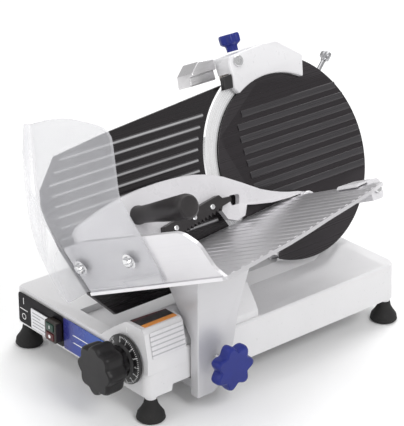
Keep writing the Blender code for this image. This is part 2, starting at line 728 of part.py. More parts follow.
sb = box("slide_block", SLIDE_X - 12, SLIDE_X + 12, -150, -74, 32, 54.6, ALU)
bevel(sb, 1.0, 1)
cut(sb, rod("hole", 8.3, 200, None, along_y(SLIDE_X, -20, SLIDE_Z), 0.1, 14))
rod("slide_rod", 8.0, 392.0, STEEL, along_y(SLIDE_X, 196.0, SLIDE_Z))

# blue clamping knob on the outside of the column
KX, KY, KZ = COLUMN_X1 + GAP, -114.0, 60.0
rod("carriage_stud", 5.0, 12.0, STEEL, along_x(KX, KY, KZ))
layers = [(scaled(lobed(29.0, 7.0, 7, 6, 0.9), k), h) for h, k in
          ((0, 0.45), (6, 0.50), (8, 0.90), (11, 0.99), (19, 1.0),
           (22.5, 0.95), (23.5, 0.88))]
stacked("carriage_knob", layers, BLUE, along_x(KX + 12.3, KY, KZ), 30)

# clear guard: front panel on the wall plus a wing towards the operator
CL, SL = math.cos(LEAN), math.sin(LEAN)
yv = []


def wall_yv(h):
    return (-206.0 - h * SL, -75.6 + h * CL)


rows = []
for h, l, r in ((3.0, 3.4, 157), (20, 3.4, 160), (60, 3.4, 164.5),
                (85, 3.4, 167.5), (103, 3.4, 169.0)):
    y, v = wall_yv(h)
    rows.append((y, v, l, r, LEAN))
y0, v0 = wall_yv(103)
lean = LEAN
L = 0
for k in range(1, 6):
    lean2 = LEAN - math.radians(32) * k / 5
    y0 -= 4.0 * math.sin((lean + lean2) / 2)
    v0 += 4.0 * math.cos((lean + lean2) / 2)
    lean = lean2
    rows.append((y0, v0, 3.4, 169.0, lean))
ub = (y0, v0)
for v, r in ((50, 168.5), (76, 167.5), (90, 166.5), (96, 165), (103, 160),
             (109, 149), (114, 134), (118, 120), (122, 104), (126, 88),
             (128.5, 72), (130, 55), (131, 36)):
    rows.append((y0 + (v - v0) * math.tan(-lean), v, 3.4, r, lean))
bm = bmesh.new()
GT = 3.6
prev = None
for y, v, l, r, ln in rows:
    oy, ov = -math.cos(ln), -math.sin(ln)      # outward, to the operator
    quad = []
    for s, off in ((l, 0.4), (r, 0.4), (r, 0.4 + GT), (l, 0.4 + GT)):
        p = Vector((y + oy * off - HUB.y, v + ov * off, s))
        quad.append(bm.verts.new(p))
    if prev:
        for i in range(4):
            j = (i + 1) % 4
            bm.faces.new((prev[i], prev[j], quad[j], quad[i]))
    else:
        bm.faces.new(quad)
    prev = quad
bm.faces.new(list(reversed(prev)))
CLEAR = ((0.86, 0.86, 0.88), 0.1, 0.0, 0.35)
guard = make("guard", bm, CLEAR, BLADE)
wing_pts = []
for y, v, l, r, ln in rows:
    wing_pts.append((y - 2.4 * math.cos(ln) - HUB.y,
                     v - 2.4 * math.sin(ln)))
outer_edge = [(-231.0, 134.0), (-243.0, 104.0), (-251.0, 75.0),
              (-257.0, 45.0), (-260.5, 17.0), (-260.5, -7.0),
              (-255.5, -35.0), (-248.0, -66.0), (-242.0, -78.0)]
wing = prism("wing", [(p[0], p[1]) for p in wing_pts]
             + [(y - HUB.y, v) for y, v in outer_edge], 3.4, 3.4 + GT, None,
             BLADE)
join(guard, wing)
for name, s in (("guard_screw_left", 20.5), ("guard_screw_right", 120.0)):
    f = WALLF @ Matrix.Translation(Vector((s, 37.0, 0.4 + GT + 0.3)) * MM)
    sc1 = lathe(name, [(0, 0), (9.0, 0), (9.4, 0.4), (9.4, 1.5), (6.6, 1.9),
                       (6.6, 3.4), (5.6, 6.4), (3.2, 7.6), (0, 7.6)], STEEL,
                f, 16)
    cut(sc1, box("slot", -8, 8, -0.8, 0.8, 5.6, 10, None, f))

# pusher: a long arched arm that slides and swings on the rod
top = [(-349.0, -4.0), (-344.0, 1.5), (-337.0, 4.6), (-308.0, 12.6),
       (-275.0, 19.4), (-243.0, 22.0), (-213.0, 22.3), (-188.0, 21.0),
       (-163.0, 17.8), (-141.0, 12.2), (-121.0, 4.0), (-96.0, -10.0),
       (-71.0, -25.0), (-55.0, -32.0), (-41.0, -37.0), (-28.0, -40.6),
       (-13.0, -43.6)]
hub = arc(ry, ROD_V, 10.5, 90, -100, 10) + [(-10.5, -47.4)]
low = [(-27.0, -47.8), (-58.0, -46.0), (-85.0, -41.0), (-97.0, -38.0),
       (-104.0, -50.0), (-118.0, -52.5), (-131.0, -47.0), (-141.0, -26.0),
       (-190.0, -33.0), (-236.0, -41.0), (-300.0, -44.0), (-338.0, -42.0),
       (-346.0, -28.0)]
arm = prism("pusher_arm", top + hub + low, 13.0, 21.0, WHITE, BLADE)
join(arm, rod("hub", 11.2, 12, None, blade_at(ry, ROD_V, 13.6), 1.0, 24))
cut(arm, rod("hole", 8.0, 80, None, blade_at(ry, ROD_V, 0), 0.1, 14))
tube("pusher_sleeve", ROD_R + GAP, 7.7, 17.0, STEEL,
     blade_at(ry, ROD_V, 12.3), 18)
cut(arm, prism("window", rounded([(-122, -20), (-104, -22), (-108, -34),
                                  (-120, -33)], 3, 3), 5, 30, None, BLADE))
lathe("pusher_handle", [(0, 0), (11.5, 0), (11.5, 3), (10.2, 6), (11.2, 30),
                        (13.4, 62), (15.2, 92), (15.4, 99), (14.4, 103),
                        (12.0, 104.6), (0, 102.4)], BLACK,
      blade_at(-258.0, -6.5, 21.3), 20)
# toothed gripper along the lower edge of the arm
teeth = [(-236.0, -32.0), (-141.0, -16.0)]
g = []
n_teeth = 16
for i in range(n_teeth):
    a = -236.0 + 95.0 * i / n_teeth
    b = -50.0 + 17.0 * i / n_teeth
    g += [(a, b + 4.0), (a + 2.9, b)]
g += [(-141.0, -29.0), (-126.0, -26.5), (-125.0, -20.5), (-138.0, -19.5),
      (-142.0, -14.5), (-160.0, -17.0), (-232.0, -29.5)]
prism("gripper", g, 21.3, 31.0, BLACK, BLADE)

# the row's origin is under the middle of the whole machine
for ob in bpy.data.objects:
    ob.data.name = ob.name
    ob.matrix_world = Matrix.Translation(-ORIGIN * MM) @ ob.matrix_world
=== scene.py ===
"""Looks of the deli meat slicer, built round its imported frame.

Every shown piece is a refined version of one CAD node, or a small detail that
rides with it.  Lengths in the modelling code are millimetres; +X is the
operator's right, +Y points away from the operator, +Z is up.
"""
import json
import math

import bmesh
import bpy
from mathutils import Matrix, Vector

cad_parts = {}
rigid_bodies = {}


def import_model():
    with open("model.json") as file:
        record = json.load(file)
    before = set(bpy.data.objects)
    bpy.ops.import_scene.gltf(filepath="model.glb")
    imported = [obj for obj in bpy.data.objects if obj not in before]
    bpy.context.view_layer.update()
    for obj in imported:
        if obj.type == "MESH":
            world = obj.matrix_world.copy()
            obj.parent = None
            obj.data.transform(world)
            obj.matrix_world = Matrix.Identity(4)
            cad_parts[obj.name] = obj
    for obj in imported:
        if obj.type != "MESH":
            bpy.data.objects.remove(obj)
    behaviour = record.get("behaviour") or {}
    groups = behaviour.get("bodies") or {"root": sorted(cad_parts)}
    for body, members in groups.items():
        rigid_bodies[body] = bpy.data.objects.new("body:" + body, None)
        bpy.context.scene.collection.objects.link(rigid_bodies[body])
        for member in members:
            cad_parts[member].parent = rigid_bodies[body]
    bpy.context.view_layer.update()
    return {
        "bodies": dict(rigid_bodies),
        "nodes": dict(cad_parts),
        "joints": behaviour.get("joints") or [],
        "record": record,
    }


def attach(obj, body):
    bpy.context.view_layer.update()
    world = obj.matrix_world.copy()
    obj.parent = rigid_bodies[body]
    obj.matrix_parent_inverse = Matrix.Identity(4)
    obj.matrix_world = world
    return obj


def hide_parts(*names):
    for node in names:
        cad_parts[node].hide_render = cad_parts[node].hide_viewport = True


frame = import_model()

FINE = 3                       # how much finer round forms are than the CAD

MM = 0.001
GAP = 0.3                      # clearance between neighbouring pieces

ORIGIN = Vector((65.889508, 7.569462, -3.0))

# ---- base casting -------------------------------------------------------
BASE_HX, BASE_HY = 128.8, 202.0     # half width, half depth
BASE_BOT, DECK = 29.0, 77.7         # underside and deck height
WALL = 5.0
POD_TOP = 116.0                     # raised front right corner with the dial
FOOT_X, FOOT_Y = 121.0, 192.0
FOOT_R = 17.5

# ---- blade and its tilted frame ----------------------------------------
TILT = math.radians(24.9)
HUB = Vector((-4.4, 132.8, 198.0))  # centre of the cutting edge
BLADE_R = 127.0
COVER_R = 107.2
SHROUD_R = 131.0

# ---- gauge plate ---------------------------------------------------------
GAUGE_T = 8.0
RIB_PITCH = 12.8
DIAL = Vector((93.0, -202.0, 69.0))

# ---- carriage ------------------------------------------------------------
PITCH = math.radians(4.7)           # tray floor rises gently away from operator
TRAY_T = 4.0
LEAN = math.radians(19.0)           # front wall leans towards the operator
ROD_Y, ROD_V = 130.5, -58.0
ROD_R = 5.0
COLUMN_X0, COLUMN_X1 = 132.0, 146.0
SLIDE_X, SLIDE_Z = 90.0, 44.0

N = Vector((math.cos(TILT), 0, math.sin(TILT)))      # out of the blade face
V = Vector((-math.sin(TILT), 0, math.cos(TILT)))     # up along the blade face
Y = Vector((0, 1, 0))


def basis(origin, x, y, z):
    m = Matrix((
        (x.x, y.x, z.x, origin.x * MM),
        (x.y, y.y, z.y, origin.y * MM),
        (x.z, y.z, z.z, origin.z * MM),
        (0, 0, 0, 1)))
    return m


WORLD = Matrix.Identity(4)
BLADE = basis(HUB, Y, V, N)                          # a along Y, b up, c out


def blade_point(a, b, c):
    return HUB + Y * a + V * b + N * c


def blade_at(a, b, c):
    return basis(blade_point(a, b, c), Y, V, N)


TRAY_O = HUB + N * 3.0 + V * -75.6
TRAY_O.y = -206.0
D = (Y * math.cos(PITCH) + V * math.sin(PITCH)).normalized()
M = N.cross(D).normalized()
TRAY = basis(TRAY_O, N, D, M)
W = (V * math.cos(LEAN) - Y * math.sin(LEAN)).normalized()
WALLF = basis(TRAY_O, N, W, N.cross(W).normalized())  # local z faces operator


def at(x, y, z):
    return Matrix.Translation(Vector((x, y, z)) * MM)


def along_y(x, y, z):
    """Lathe axis along -Y (towards the operator)."""
    return basis(Vector((x, y, z)), Vector((1, 0, 0)), Vector((0, 0, 1)),
                 Vector((0, -1, 0)))


def along_x(x, y, z):
    return basis(Vector((x, y, z)), Vector((0, 1, 0)), Vector((0, 0, 1)),
                 Vector((1, 0, 0)))


# ---------------------------------------------------------------- materials
def material(name, rgb, rough=0.5, metal=0.0, alpha=1.0):
    m = bpy.data.materials.new(name)
    m.use_nodes = True
    p = m.node_tree.nodes["Principled BSDF"]
    p.inputs["Base Color"].default_value = (*rgb, 1)
    p.inputs["Roughness"].default_value = rough
    p.inputs["Metallic"].default_value = metal
    p.inputs["Alpha"].default_value = alpha
    m.diffuse_color = (*rgb, alpha)
    return m


CAST = ((0.80, 0.80, 0.80), 0.45, 0.1)
WHITE = ((0.85, 0.84, 0.86), 0.4, 0.0)
ALU = ((0.70, 0.69, 0.71), 0.3, 0.9)
STEEL = ((0.62, 0.62, 0.63), 0.25, 1.0)
DARK = ((0.055, 0.050, 0.053), 0.45, 0.2)
BLACK = ((0.02, 0.02, 0.02), 0.5, 0.0)
RUBBER = ((0.025, 0.025, 0.025), 0.8, 0.0)
BLUE = ((0.03, 0.05, 0.38), 0.4, 0.0)


# ------------------------------------------------------------------- meshes
def make(name, bm, look, frame=WORLD, sharp=35.0):
    name = "look_" + name
    bmesh.ops.remove_doubles(bm, verts=bm.verts, dist=0.0005)
    bmesh.ops.recalc_face_normals(bm, faces=bm.faces)
    bmesh.ops.scale(bm, vec=(MM, MM, MM), verts=bm.verts)
    me = bpy.data.meshes.new(name)
    bm.to_mesh(me)
    bm.free()
    ob = bpy.data.objects.new(name, me)
    bpy.context.collection.objects.link(ob)
    ob.matrix_world = frame
    if look:
        me.materials.append(material(name + "_finish", *look))
    me.shade_smooth()
    me.set_sharp_from_angle(angle=math.radians(sharp))
    return ob


def settle(ob, sharp=35.0):
    """Apply the modifiers of a piece."""
    bpy.context.view_layer.update()
    dg = bpy.context.evaluated_depsgraph_get()
    me = bpy.data.meshes.new_from_object(ob.evaluated_get(dg))
    old = ob.data
    ob.modifiers.clear()
    ob.data = me
    bpy.data.meshes.remove(old)
    me.name = ob.name
    me.shade_smooth()
    me.set_sharp_from_angle(angle=math.radians(sharp))
    return ob


def combine(ob, others, operation):
    for i, other in enumerate(others):
        mod = ob.modifiers.new("cut%d" % i, "BOOLEAN")
        mod.operation = operation
        mod.solver = "EXACT"
        mod.object = other
        other.hide_render = True
        other.display_type = "WIRE"
    settle(ob)
    for other in others:
        bpy.data.objects.remove(other)
    return ob


def cut(ob, *cutters):
    return combine(ob, cutters, "DIFFERENCE")


def join(ob, *others):
    return combine(ob, others, "UNION")


def bevel(ob, width, segments=3, angle=40.0):
    mod = ob.modifiers.new("soft", "BEVEL")
    mod.width = width * MM
    mod.segments = max(segments, 3)
    mod.limit_method = "ANGLE"
    mod.angle_limit = math.radians(angle)
    mod.use_clamp_overlap = True
    mod.harden_normals = False
    return settle(ob)


def lathe(name, profile, look=None, frame=WORLD, segments=24, start=0.0,
          turn=360.0):
    """Turned piece: profile is (radius, height); full turns close on
    themselves, part turns get end faces."""
    segments = max(segments * FINE, 36)
    bm = bmesh.new()
    full = turn >= 360.0
    n = segments if full else segments + 1
    rings = []
    for r, h in profile:
        if r < 1e-6:
            rings.append([bm.verts.new((0, 0, h))])
            continue
        ring = []
        for i in range(n):
            t = math.radians(start + turn * i / segments)
            ring.append(bm.verts.new((r * math.cos(t), r * math.sin(t), h)))
        rings.append(ring)
    closed = profile[0][0] > 1e-6 and profile[-1][0] > 1e-6
    pairs = list(zip(rings, rings[1:]))
    if closed:
        pairs.append((rings[-1], rings[0]))
    m = n if full else n - 1
    for p, q in pairs:
        for i in range(m):
            j = (i + 1) % n
            if len(p) == 1 and len(q) == 1:
                continue
            if len(p) == 1:
                bm.faces.new((p[0], q[i], q[j]))
            elif len(q) == 1:
                bm.faces.new((p[i], q[0], p[j]))
            else:
                bm.faces.new((p[i], q[i], q[j], p[j]))
    if not full:
        bm.faces.new([r[0] for r in rings])
        bm.faces.new([r[-1] for r in reversed(rings)])
    return make(name, bm, look, frame)


def prism(name, outline, h0, h1, look=None, frame=WORLD, sharp=35.0):
    bm = bmesh.new()
    lo = [bm.verts.new((x, y, h0)) for x, y in outline]
    hi = [bm.verts.new((x, y, h1)) for x, y in outline]
    bm.faces.new(list(reversed(lo)))
    bm.faces.new(hi)
    n = len(outline)
    for i in range(n):
        j = (i + 1) % n
        bm.faces.new((lo[i], lo[j], hi[j], hi[i]))
    return make(name, bm, look, frame, sharp)


def box(name, x0, x1, y0, y1, z0, z1, look=None, frame=WORLD):
    return prism(name, [(x0, y0), (x1, y0), (x1, y1), (x0, y1)], z0, z1,
                 look, frame)


def xz_prism(name, outline, y0, y1, look=None, sharp=35.0):
    """Outline in X and Z, extruded from y0 to y1."""
    frame = basis(Vector((0, 0, 0)), Vector((1, 0, 0)), Vector((0, 0, 1)),
                  Vector((0, -1, 0)))
    return prism(name, outline, -y1, -y0, look, frame, sharp)


def yz_prism(name, outline, x0, x1, look=None, sharp=35.0):
    frame = basis(Vector((0, 0, 0)), Vector((0, 1, 0)), Vector((0, 0, 1)),
                  Vector((1, 0, 0)))
    return prism(name, outline, x0, x1, look, frame, sharp)


def rounded(points, radius, steps=5):
    return rounded_fine(points, radius, steps * 2)


def rounded_fine(points, radius, steps=5):
    """Outline with its corners rounded; radius is a number or one per
    corner."""
    out = []
    n = len(points)
    for i in range(n):
        r = radius[i] if isinstance(radius, (list, tuple)) else radius
        p = Vector(points[i])
        a = Vector(points[i - 1]) - p
        b = Vector(points[(i + 1) % n]) - p
        if r <= 0.01:
            out.append(tuple(p))
            continue
        ang = a.angle(b)
        if ang > math.radians(176):
            out.append(tuple(p))
            continue
        t = min(r / math.tan(ang / 2), a.length * 0.49, b.length * 0.49)
        r2 = t * math.tan(ang / 2)
        a.normalize()
        b.normalize()
        centre = p + (a + b).normalized() * (r2 / math.sin(ang / 2))
        s, e = p + a * t - centre, p + b * t - centre
        a0, a1 = math.atan2(s.y, s.x), math.atan2(e.y, e.x)
        while a1 - a0 > math.pi:
            a1 -= 2 * math.pi
        while a1 - a0 < -math.pi:
            a1 += 2 * math.pi
        for k in range(steps + 1):
            t2 = a0 + (a1 - a0) * k / steps
            out.append((centre.x + r2 * math.cos(t2),
                        centre.y + r2 * math.sin(t2)))
    return out


def arc(cx, cy, r, a0, a1, steps):
    steps = steps * 2
    return [(cx + r * math.cos(math.radians(a0 + (a1 - a0) * i / steps)),
             cy + r * math.sin(math.radians(a0 + (a1 - a0) * i / steps)))
            for i in range(steps + 1)]


def lobed(radius, depth, lobes, steps=8, flat=0.45):
    """Outline of a hand knob with rounded lobes."""
    out = []
    steps = steps * 3
    n = lobes * steps
    for i in range(n):
        t = 2 * math.pi * i / n
        w = 0.5 + 0.5 * math.cos(lobes * t)
        r = radius - depth * (1 - w ** flat)
        out.append((r * math.cos(t), r * math.sin(t)))
    return out


def stacked(name, layers, look=None, frame=WORLD, sharp=35.0):
    """Loft through outlines of equal length: (outline, height)."""
    if len(layers) > 4:
        layers = smooth_layers(layers)
    bm = bmesh.new()
    rings = [[bm.verts.new((x, y, h)) for x, y in o] for o, h in layers]
    n = len(rings[0])
    for p, q in zip(rings, rings[1:]):
        for i in range(n):
            j = (i + 1) % n
            bm.faces.new((p[i], p[j], q[j], q[i]))
    bm.faces.new(list(reversed(rings[0])))
    bm.faces.new(rings[-1])
    return make(name, bm, look, frame, sharp)


def smooth_layers(layers, sub=4):
    """Extra outlines between the given ones, on a gentle curve."""
    out = []
    for i in range(len(layers) - 1):
        p0 = layers[max(i - 1, 0)]
        p1, p2 = layers[i], layers[i + 1]
        p3 = layers[min(i + 2, len(layers) - 1)]
        for k in range(sub):
            t = k / sub
            t2, t3 = t * t, t * t * t
            w = (-0.5 * t3 + t2 - 0.5 * t, 1.5 * t3 - 2.5 * t2 + 1,
                 -1.5 * t3 + 2 * t2 + 0.5 * t, 0.5 * t3 - 0.5 * t2)
            out.append((
                [tuple(sum(w[m] * q[0][j][c] for m, q in
                           enumerate((p0, p1, p2, p3))) for c in (0, 1))
                 for j in range(len(p1[0]))],
                p1[1] + (p2[1] - p1[1]) * t))
    out.append(layers[-1])
    return out


def scaled(outline, k, kx=None):
    return [(x * (k if kx is None else kx), y * k) for x, y in outline]


def rod(name, r, length, look=None, frame=WORLD, chamfer=0.6, segments=14):
    c = min(chamfer, r * 0.4)
    return lathe(name, [(0, 0), (r - c, 0), (r, c), (r, length - c),
                        (r - c, length), (0, length)], look, frame, segments)


def tube(name, r_in, r_out, length, look=None, frame=WORLD, segments=20):
    return lathe(name, [(r_in, 0), (r_out, 0), (r_out, length),
                        (r_in, length)], look, frame, segments)


EXTRA = {}

# ===================================================================== base
plan = rounded([(-BASE_HX, -BASE_HY), (BASE_HX, -BASE_HY),
                (BASE_HX, BASE_HY), (-BASE_HX, BASE_HY)], [7, 12, 12, 10], 5)
grow = [(x * 1.012, y * 1.006) for x, y in plan]
base = stacked("base_casting", [(grow, BASE_BOT), (plan, DECK - 2.0),
                                ([(x * 0.988, y * 0.993) for x, y in plan],
                                 DECK)], CAST)
# The raised corner that carries the thickness dial: its top is a hump that
# runs back along the right side and rounds over to the right.
hump = rounded([(34, 70), (48, 84), (70, 101), (92, POD_TOP), (120.4, POD_TOP),
                (124.5, 111), (130.6, 80), (130.3, 60), (60, 60)],
               [0, 22, 30, 14, 4, 4, 12, 0, 0], 4)
pod = xz_prism("pod", hump, -BASE_HY - 1.0, -146.0)
# behind the column's parking place it is cut lower to let the column pass
hump_rear = rounded([(35, 69), (49, 83), (70.6, 100), (90, POD_TOP - 1.2),
                     (103, POD_TOP - 1.2), (124, 86), (126, 57), (60, 57)],
                    [0, 22, 30, 10, 6, 4, 0, 0], 4)
pod_rear = xz_prism("pod_rear", hump_rear, -147.0, -28.0)
join(base, pod)
join(base, pod_rear)

# recess beside the hump for the foot of the gauge plate
recess = xz_prism("recess", [(-26, 69), (60, 69), (60, 90), (66, 130),
                             (-26, 130)], -182, -36)
# scooped deck under the blade: falls away from the sharp right hand edge
scoop = xz_prism("scoop", [(127.4, 78.4), (78, 61), (34, 61), (27, 90),
                           (127.4, 90)], -28.6, 206)
ramp = yz_prism("ramp", [(-28.6, 140), (-28.6, 55), (140, 55), (184, 79),
                         (206, 79), (206, 140)], 20, 140)
# the scoop fades out towards the rear, so keep only its overlap with ramp
mod = scoop.modifiers.new("keep", "BOOLEAN")
mod.operation = "INTERSECT"
mod.solver = "EXACT"
mod.object = ramp
ramp.hide_render = True
ramp.display_type = "WIRE"
settle(scoop)
bpy.data.objects.remove(ramp)
cut(base, recess)
cut(base, scoop)
inner = box("inner", -BASE_HX + WALL + 2, 20.5, -BASE_HY + WALL,
            BASE_HY - WALL, 10, 63.5)
join(inner, box("inner2", -BASE_HX + WALL + 2.4, -31, -BASE_HY + WALL + 0.4,
                BASE_HY - WALL - 0.4, 50, DECK - WALL))
join(inner, box("inner3", 19, BASE_HX - WALL - 0.5, -BASE_HY + WALL + 0.7,
                BASE_HY - WALL - 0.7, 9, 55.5))
join(inner, box("inner4", 66, BASE_HX - WALL - 3, -BASE_HY + WALL + 1.1, -151,
                50, 106))
join(inner, box("inner5", 67.3, 103.4, -158, -41.3, 51, 103.6))
# opening in the deck below the motor housing
join(inner, box("well", -92, 18, 92, 178, 40, 100))
cut(base, inner)
cut(base, rod("shaft_hole", 5.4, 30, None,
              along_y(DIAL.x, -190, DIAL.z), 0.1))
cut(base, yz_prism("side_relief", [(-172, 8), (-166, 37), (-60, 37),
                                   (-56, 8)], 100, 150))
for sx in (-1, 1):
    for sy in (-1, 1):
        boss = lathe("boss", [(0, 24.4), (7.0, 24.4), (7.4, 40), (7.4, 60),
                              (0, 60)], None,
                     at(sx * FOOT_X, sy * FOOT_Y, 0), 16)
        join(base, boss)

prism("bottom_plate",
      rounded([(-108, -160), (66, -160), (66, 160), (-108, 160)], 10, 4),
      27.2, 28.7, STEEL)

foot_profile = [(0, -3.0), (15.8, -3.0), (17.5, -0.8), (16.2, 5.4),
                (12.2, 11.0), (8.8, 17.0), (7.2, 24.1), (0, 24.1)]
for name, sx, sy in (("front_left", -1, -1), ("front_right", 1, -1),
                     ("rear_right", 1, 1), ("rear_left", -1, 1)):
    lathe("foot_" + name, foot_profile, RUBBER,
          at(sx * FOOT_X, sy * FOOT_Y, 0), 20)


# ============================================================ front controls
FY = -BASE_HY - 2.6            # just clear of the drafted front face


def plate_front(name, x0, x1, z0, z1, y_in, y_out, look, r=3.0):
    return xz_prism(name, rounded([(x0, z0), (x1, z0), (x1, z1), (x0, z1)],
                                  r, 4), y_out, y_in, look)


plate_front("control_panel", -121, -28.5, 33, 74, FY, FY - 1.2, BLACK, 4)
plate_front("badge_plate", -28.1, 52, 33, 74, FY, FY - 1.2, BLUE, 2)
plate_front("rating_plate", -93, -58, 35, 62, FY - 1.5, FY - 3.0, CAST, 1.5)
housing = plate_front("switch_housing", -52, -29.5, 40, 67, FY - 1.5,
                      FY - 12, BLACK, 3)
bevel(housing, 1.0, 1)
for zc in (59.8, 47.2):
    cut(housing, plate_front("pocket", -48.6, -33, zc - 5.2, zc + 5.2,
                             FY - 6, FY - 20, None, 1.5))
for name, zc, look in (("start_button", 59.8, ((0.01, 0.09, 0.05), 0.4, 0.0)),
                       ("stop_button", 47.2, ((0.16, 0.01, 0.01), 0.4, 0.0))):
    b = plate_front(name, -48.2, -33.4, zc - 4.8, zc + 4.8, FY - 9.4,
                    FY - 13.2, look, 1.2)
    bevel(b, 0.8, 1)

# thickness dial, knob and spindle turn together
DY = -BASE_HY - 3.2
dial = lathe("dial_plate", [(6.4, 0), (29.0, 0), (30.5, 0.8), (30.5, 3.2),
                            (29.4, 4.2), (21.5, 6.0), (19.0, 9.0),
                            (6.4, 9.0)], BLACK,
             along_y(DIAL.x, DY, DIAL.z), 32)
grip = []
for h, k in ((0, 0.62), (8, 0.66), (12, 0.90), (16, 0.98), (34, 1.0),
             (37.5, 0.955), (38.5, 0.90)):
    grip.append((scaled(lobed(32.0, 4.6, 8, 6, 0.8), k), h))
knob = stacked("thickness_knob", grip, BLACK,
               along_y(DIAL.x, DY - 9.4, DIAL.z), 28)
rod("thickness_spindle", 5.0, 150, STEEL, along_y(DIAL.x, DY - 9.0, DIAL.z) @
    Matrix.Translation((0, 0, -0.150)))
cam = prism("thickness_cam",
            [((7.4 + 2.4 * i / 32) * math.cos(math.radians(11.25 * i)),
              (7.4 + 2.4 * i / 32) * math.sin(math.radians(11.25 * i)))
             for i in range(32)], -6, 6, STEEL,
            along_y(DIAL.x, -120, DIAL.z))
cut(cam, rod("hole", 5.3, 40, None, along_y(DIAL.x, -100, DIAL.z), 0.1))

# generic blank label at the raised corner
label = prism("label_top", [(94, -199), (118.5, -197), (118.5, -150), (98, -150)],
              POD_TOP + 0.4, POD_TOP + 1.2, BLACK)
xz_prism("label_side", [(131.1, 80.1), (131.9, 80.3), (125.8, 111.3),
                        (125.0, 111.1)], -196, -147.5, WHITE)

# power inlet at the rear, without a cord
gland = lathe("cable_inlet", [(0, 0), (11, 0), (11, 3), (8.5, 5), (8.5, 15),
                              (7.2, 17), (4.2, 17), (4.2, 4), (0, 4)], BLACK,
              basis(Vector((-70, BASE_HY + 2.4, 52)), Vector((-1, 0, 0)),
                    Vector((0, 0, 1)), Vector((0, 1, 0))), 16)

# ==================================================================== drive
tower = lathe("motor_housing", [(0, -64), (76, -64), (88, -56), (90, -50),
                                (90, -19.5), (0, -19.5)], CAST, BLADE, 36)
pedestal = xz_prism("pedestal", rounded([(-116, DECK + GAP), (22, DECK + GAP),
                                         (22, 140), (-36, 200), (-92, 186),
                                         (-116, 152)],
                                        [0, 0, 0, 12, 14, 14], 4), 86, 182)
front_cut = prism("front_cut", [(-200, -260), (200, -260), (200, 200),
                                (-200, 200)], -19.5, 120, None, BLADE)
cut(pedestal, front_cut)
join(tower, pedestal)
hollow = xz_prism("hollow", [(-111, 60), (17, 60), (17, 136), (-40, 193),
                             (-90, 180), (-111, 150)], 91, 177)
front_cut = prism("front_cut", [(-200, -260), (200, -260), (200, 200),
                                (-200, 200)], -25.2, 120, None, BLADE)
cut(hollow, front_cut)
drum = lathe("drum", [(0, -60), (83, -60), (83, -24), (0, -24)], None, BLADE,
             36)
cut(tower, hollow)
cut(tower, drum)
cut(tower, lathe("bore", [(0, -30), (15.2, -30), (15.2, -10), (0, -10)], None,
                 BLADE, 32))

blade = lathe("blade", [(0, -10), (104.5, -10), (107.6, -2.4),
                        (BLADE_R, -1.0), (118, -8.0), (108, -15.0),
                        (0, -16.0)], STEEL, BLADE, 64)
lathe("blade_shaft", [(0, -58), (7.5, -58), (8, -57.5), (8, -19.2), (24, -19.2),
                      (24, -16.4), (0, -16.4)], STEEL, BLADE, 32)
lathe("blade_pulley", [(8.3, -54), (14, -54), (14, -51.5), (42, -51.0),
                       (40, -49.3), (40, -38.7), (42, -37.0), (14, -36.5),
                       (8.3, -34.5)], ALU, BLADE, 24)
tube("bearing", 8.3, 14.9, 9.0, STEEL, blade_at(0, 0, -28.6))
MB = -62.0
lathe("motor", [(0, -104), (30, -104), (33, -101), (33, -62), (30, -59),
                (12, -59), (12, -57.6), (5.3, -57.6), (5.3, -62), (0, -62)],
      DARK, blade_at(0, MB, 0), 20)
lathe("motor_shaft", [(0, -61.6), (5, -61.6), (5, -34.5), (0, -34.5)], STEEL,
      blade_at(0, MB, 0), 24)
lathe("motor_pulley", [(5.3, -53), (12.5, -53), (12.5, -50.6), (10.5, -49.4),
                       (10.5, -38.6), (12.5, -37.4), (12.5, -36), (5.3, -36)],
      ALU, blade_at(0, MB, 0), 20)


def belt_loop(r0, r1, gap, n=24):
    """Loop round pulley r0 at the origin and r1 at (0, -gap)."""
    phi = math.degrees(math.asin((r0 - r1) / gap))
    return (arc(0, 0, r0, -phi, 180 + phi, n)
            + arc(0, -gap, r1, 180 + phi, 360 - phi, n // 2))


bm = bmesh.new()
loops = []
for r0, r1, c in ((40.3, 10.8, -49), (42.3, 12.8, -49), (42.3, 12.8, -39),
                  (40.3, 10.8, -39)):
    loops.append([bm.verts.new((x, y, c)) for x, y in
                  belt_loop(r0, r1, -MB)])
for i in range(4):
    p, q = loops[i], loops[(i + 1) % 4]
    for k in range(len(p)):
        j = (k + 1) % len(p)
        bm.faces.new((p[k], p[j], q[j], q[k]))
make("drive_belt", bm, RUBBER, BLADE)

# ============================================ blade cover, ring and deflector
EXT0, EXT1 = -115.0, 62.0       # the cover laps over the edge on this side
cover_outline = (arc(0, 0, SHROUD_R, EXT0, EXT1, 32)
                 + arc(0, 0, COVER_R, EXT1 + 1.0, 360 + EXT0 - 1.0, 48))
cover = prism("blade_cover", cover_outline, -0.5, 1.0, DARK, BLADE)
join(cover, lathe("disc", [(0, -6.5), (103.5, -6.5), (COVER_R - 0.5, -0.8),
                           (COVER_R - 0.5, 0.5), (0, 0.5)], None, BLADE, 48))


def ridges(name, rows, width, height, base_h, frame, steps=8):
    """Rounded ribs along local x: rows are (y, x0, x1)."""
    bm = bmesh.new()
    for yc, x0, x1 in rows:
        prof = [(-width / 2, base_h)]
        for i in range(steps + 1):
            t = math.pi * i / steps
            prof.append((-width / 2 * math.cos(t) * 0.98,
                         base_h + 0.6 + height * math.sin(t)))
        prof.append((width / 2, base_h))
        lo = [bm.verts.new((x0, yc + p, h)) for p, h in prof]
        hi = [bm.verts.new((x1, yc + p, h)) for p, h in prof]
        bm.faces.new(list(reversed(lo)))
        bm.faces.new(hi)
        for i in range(len(prof)):
            j = (i + 1) % len(prof)
            bm.faces.new((lo[i], lo[j], hi[j], hi[i]))
    return make(name, bm, None, frame)


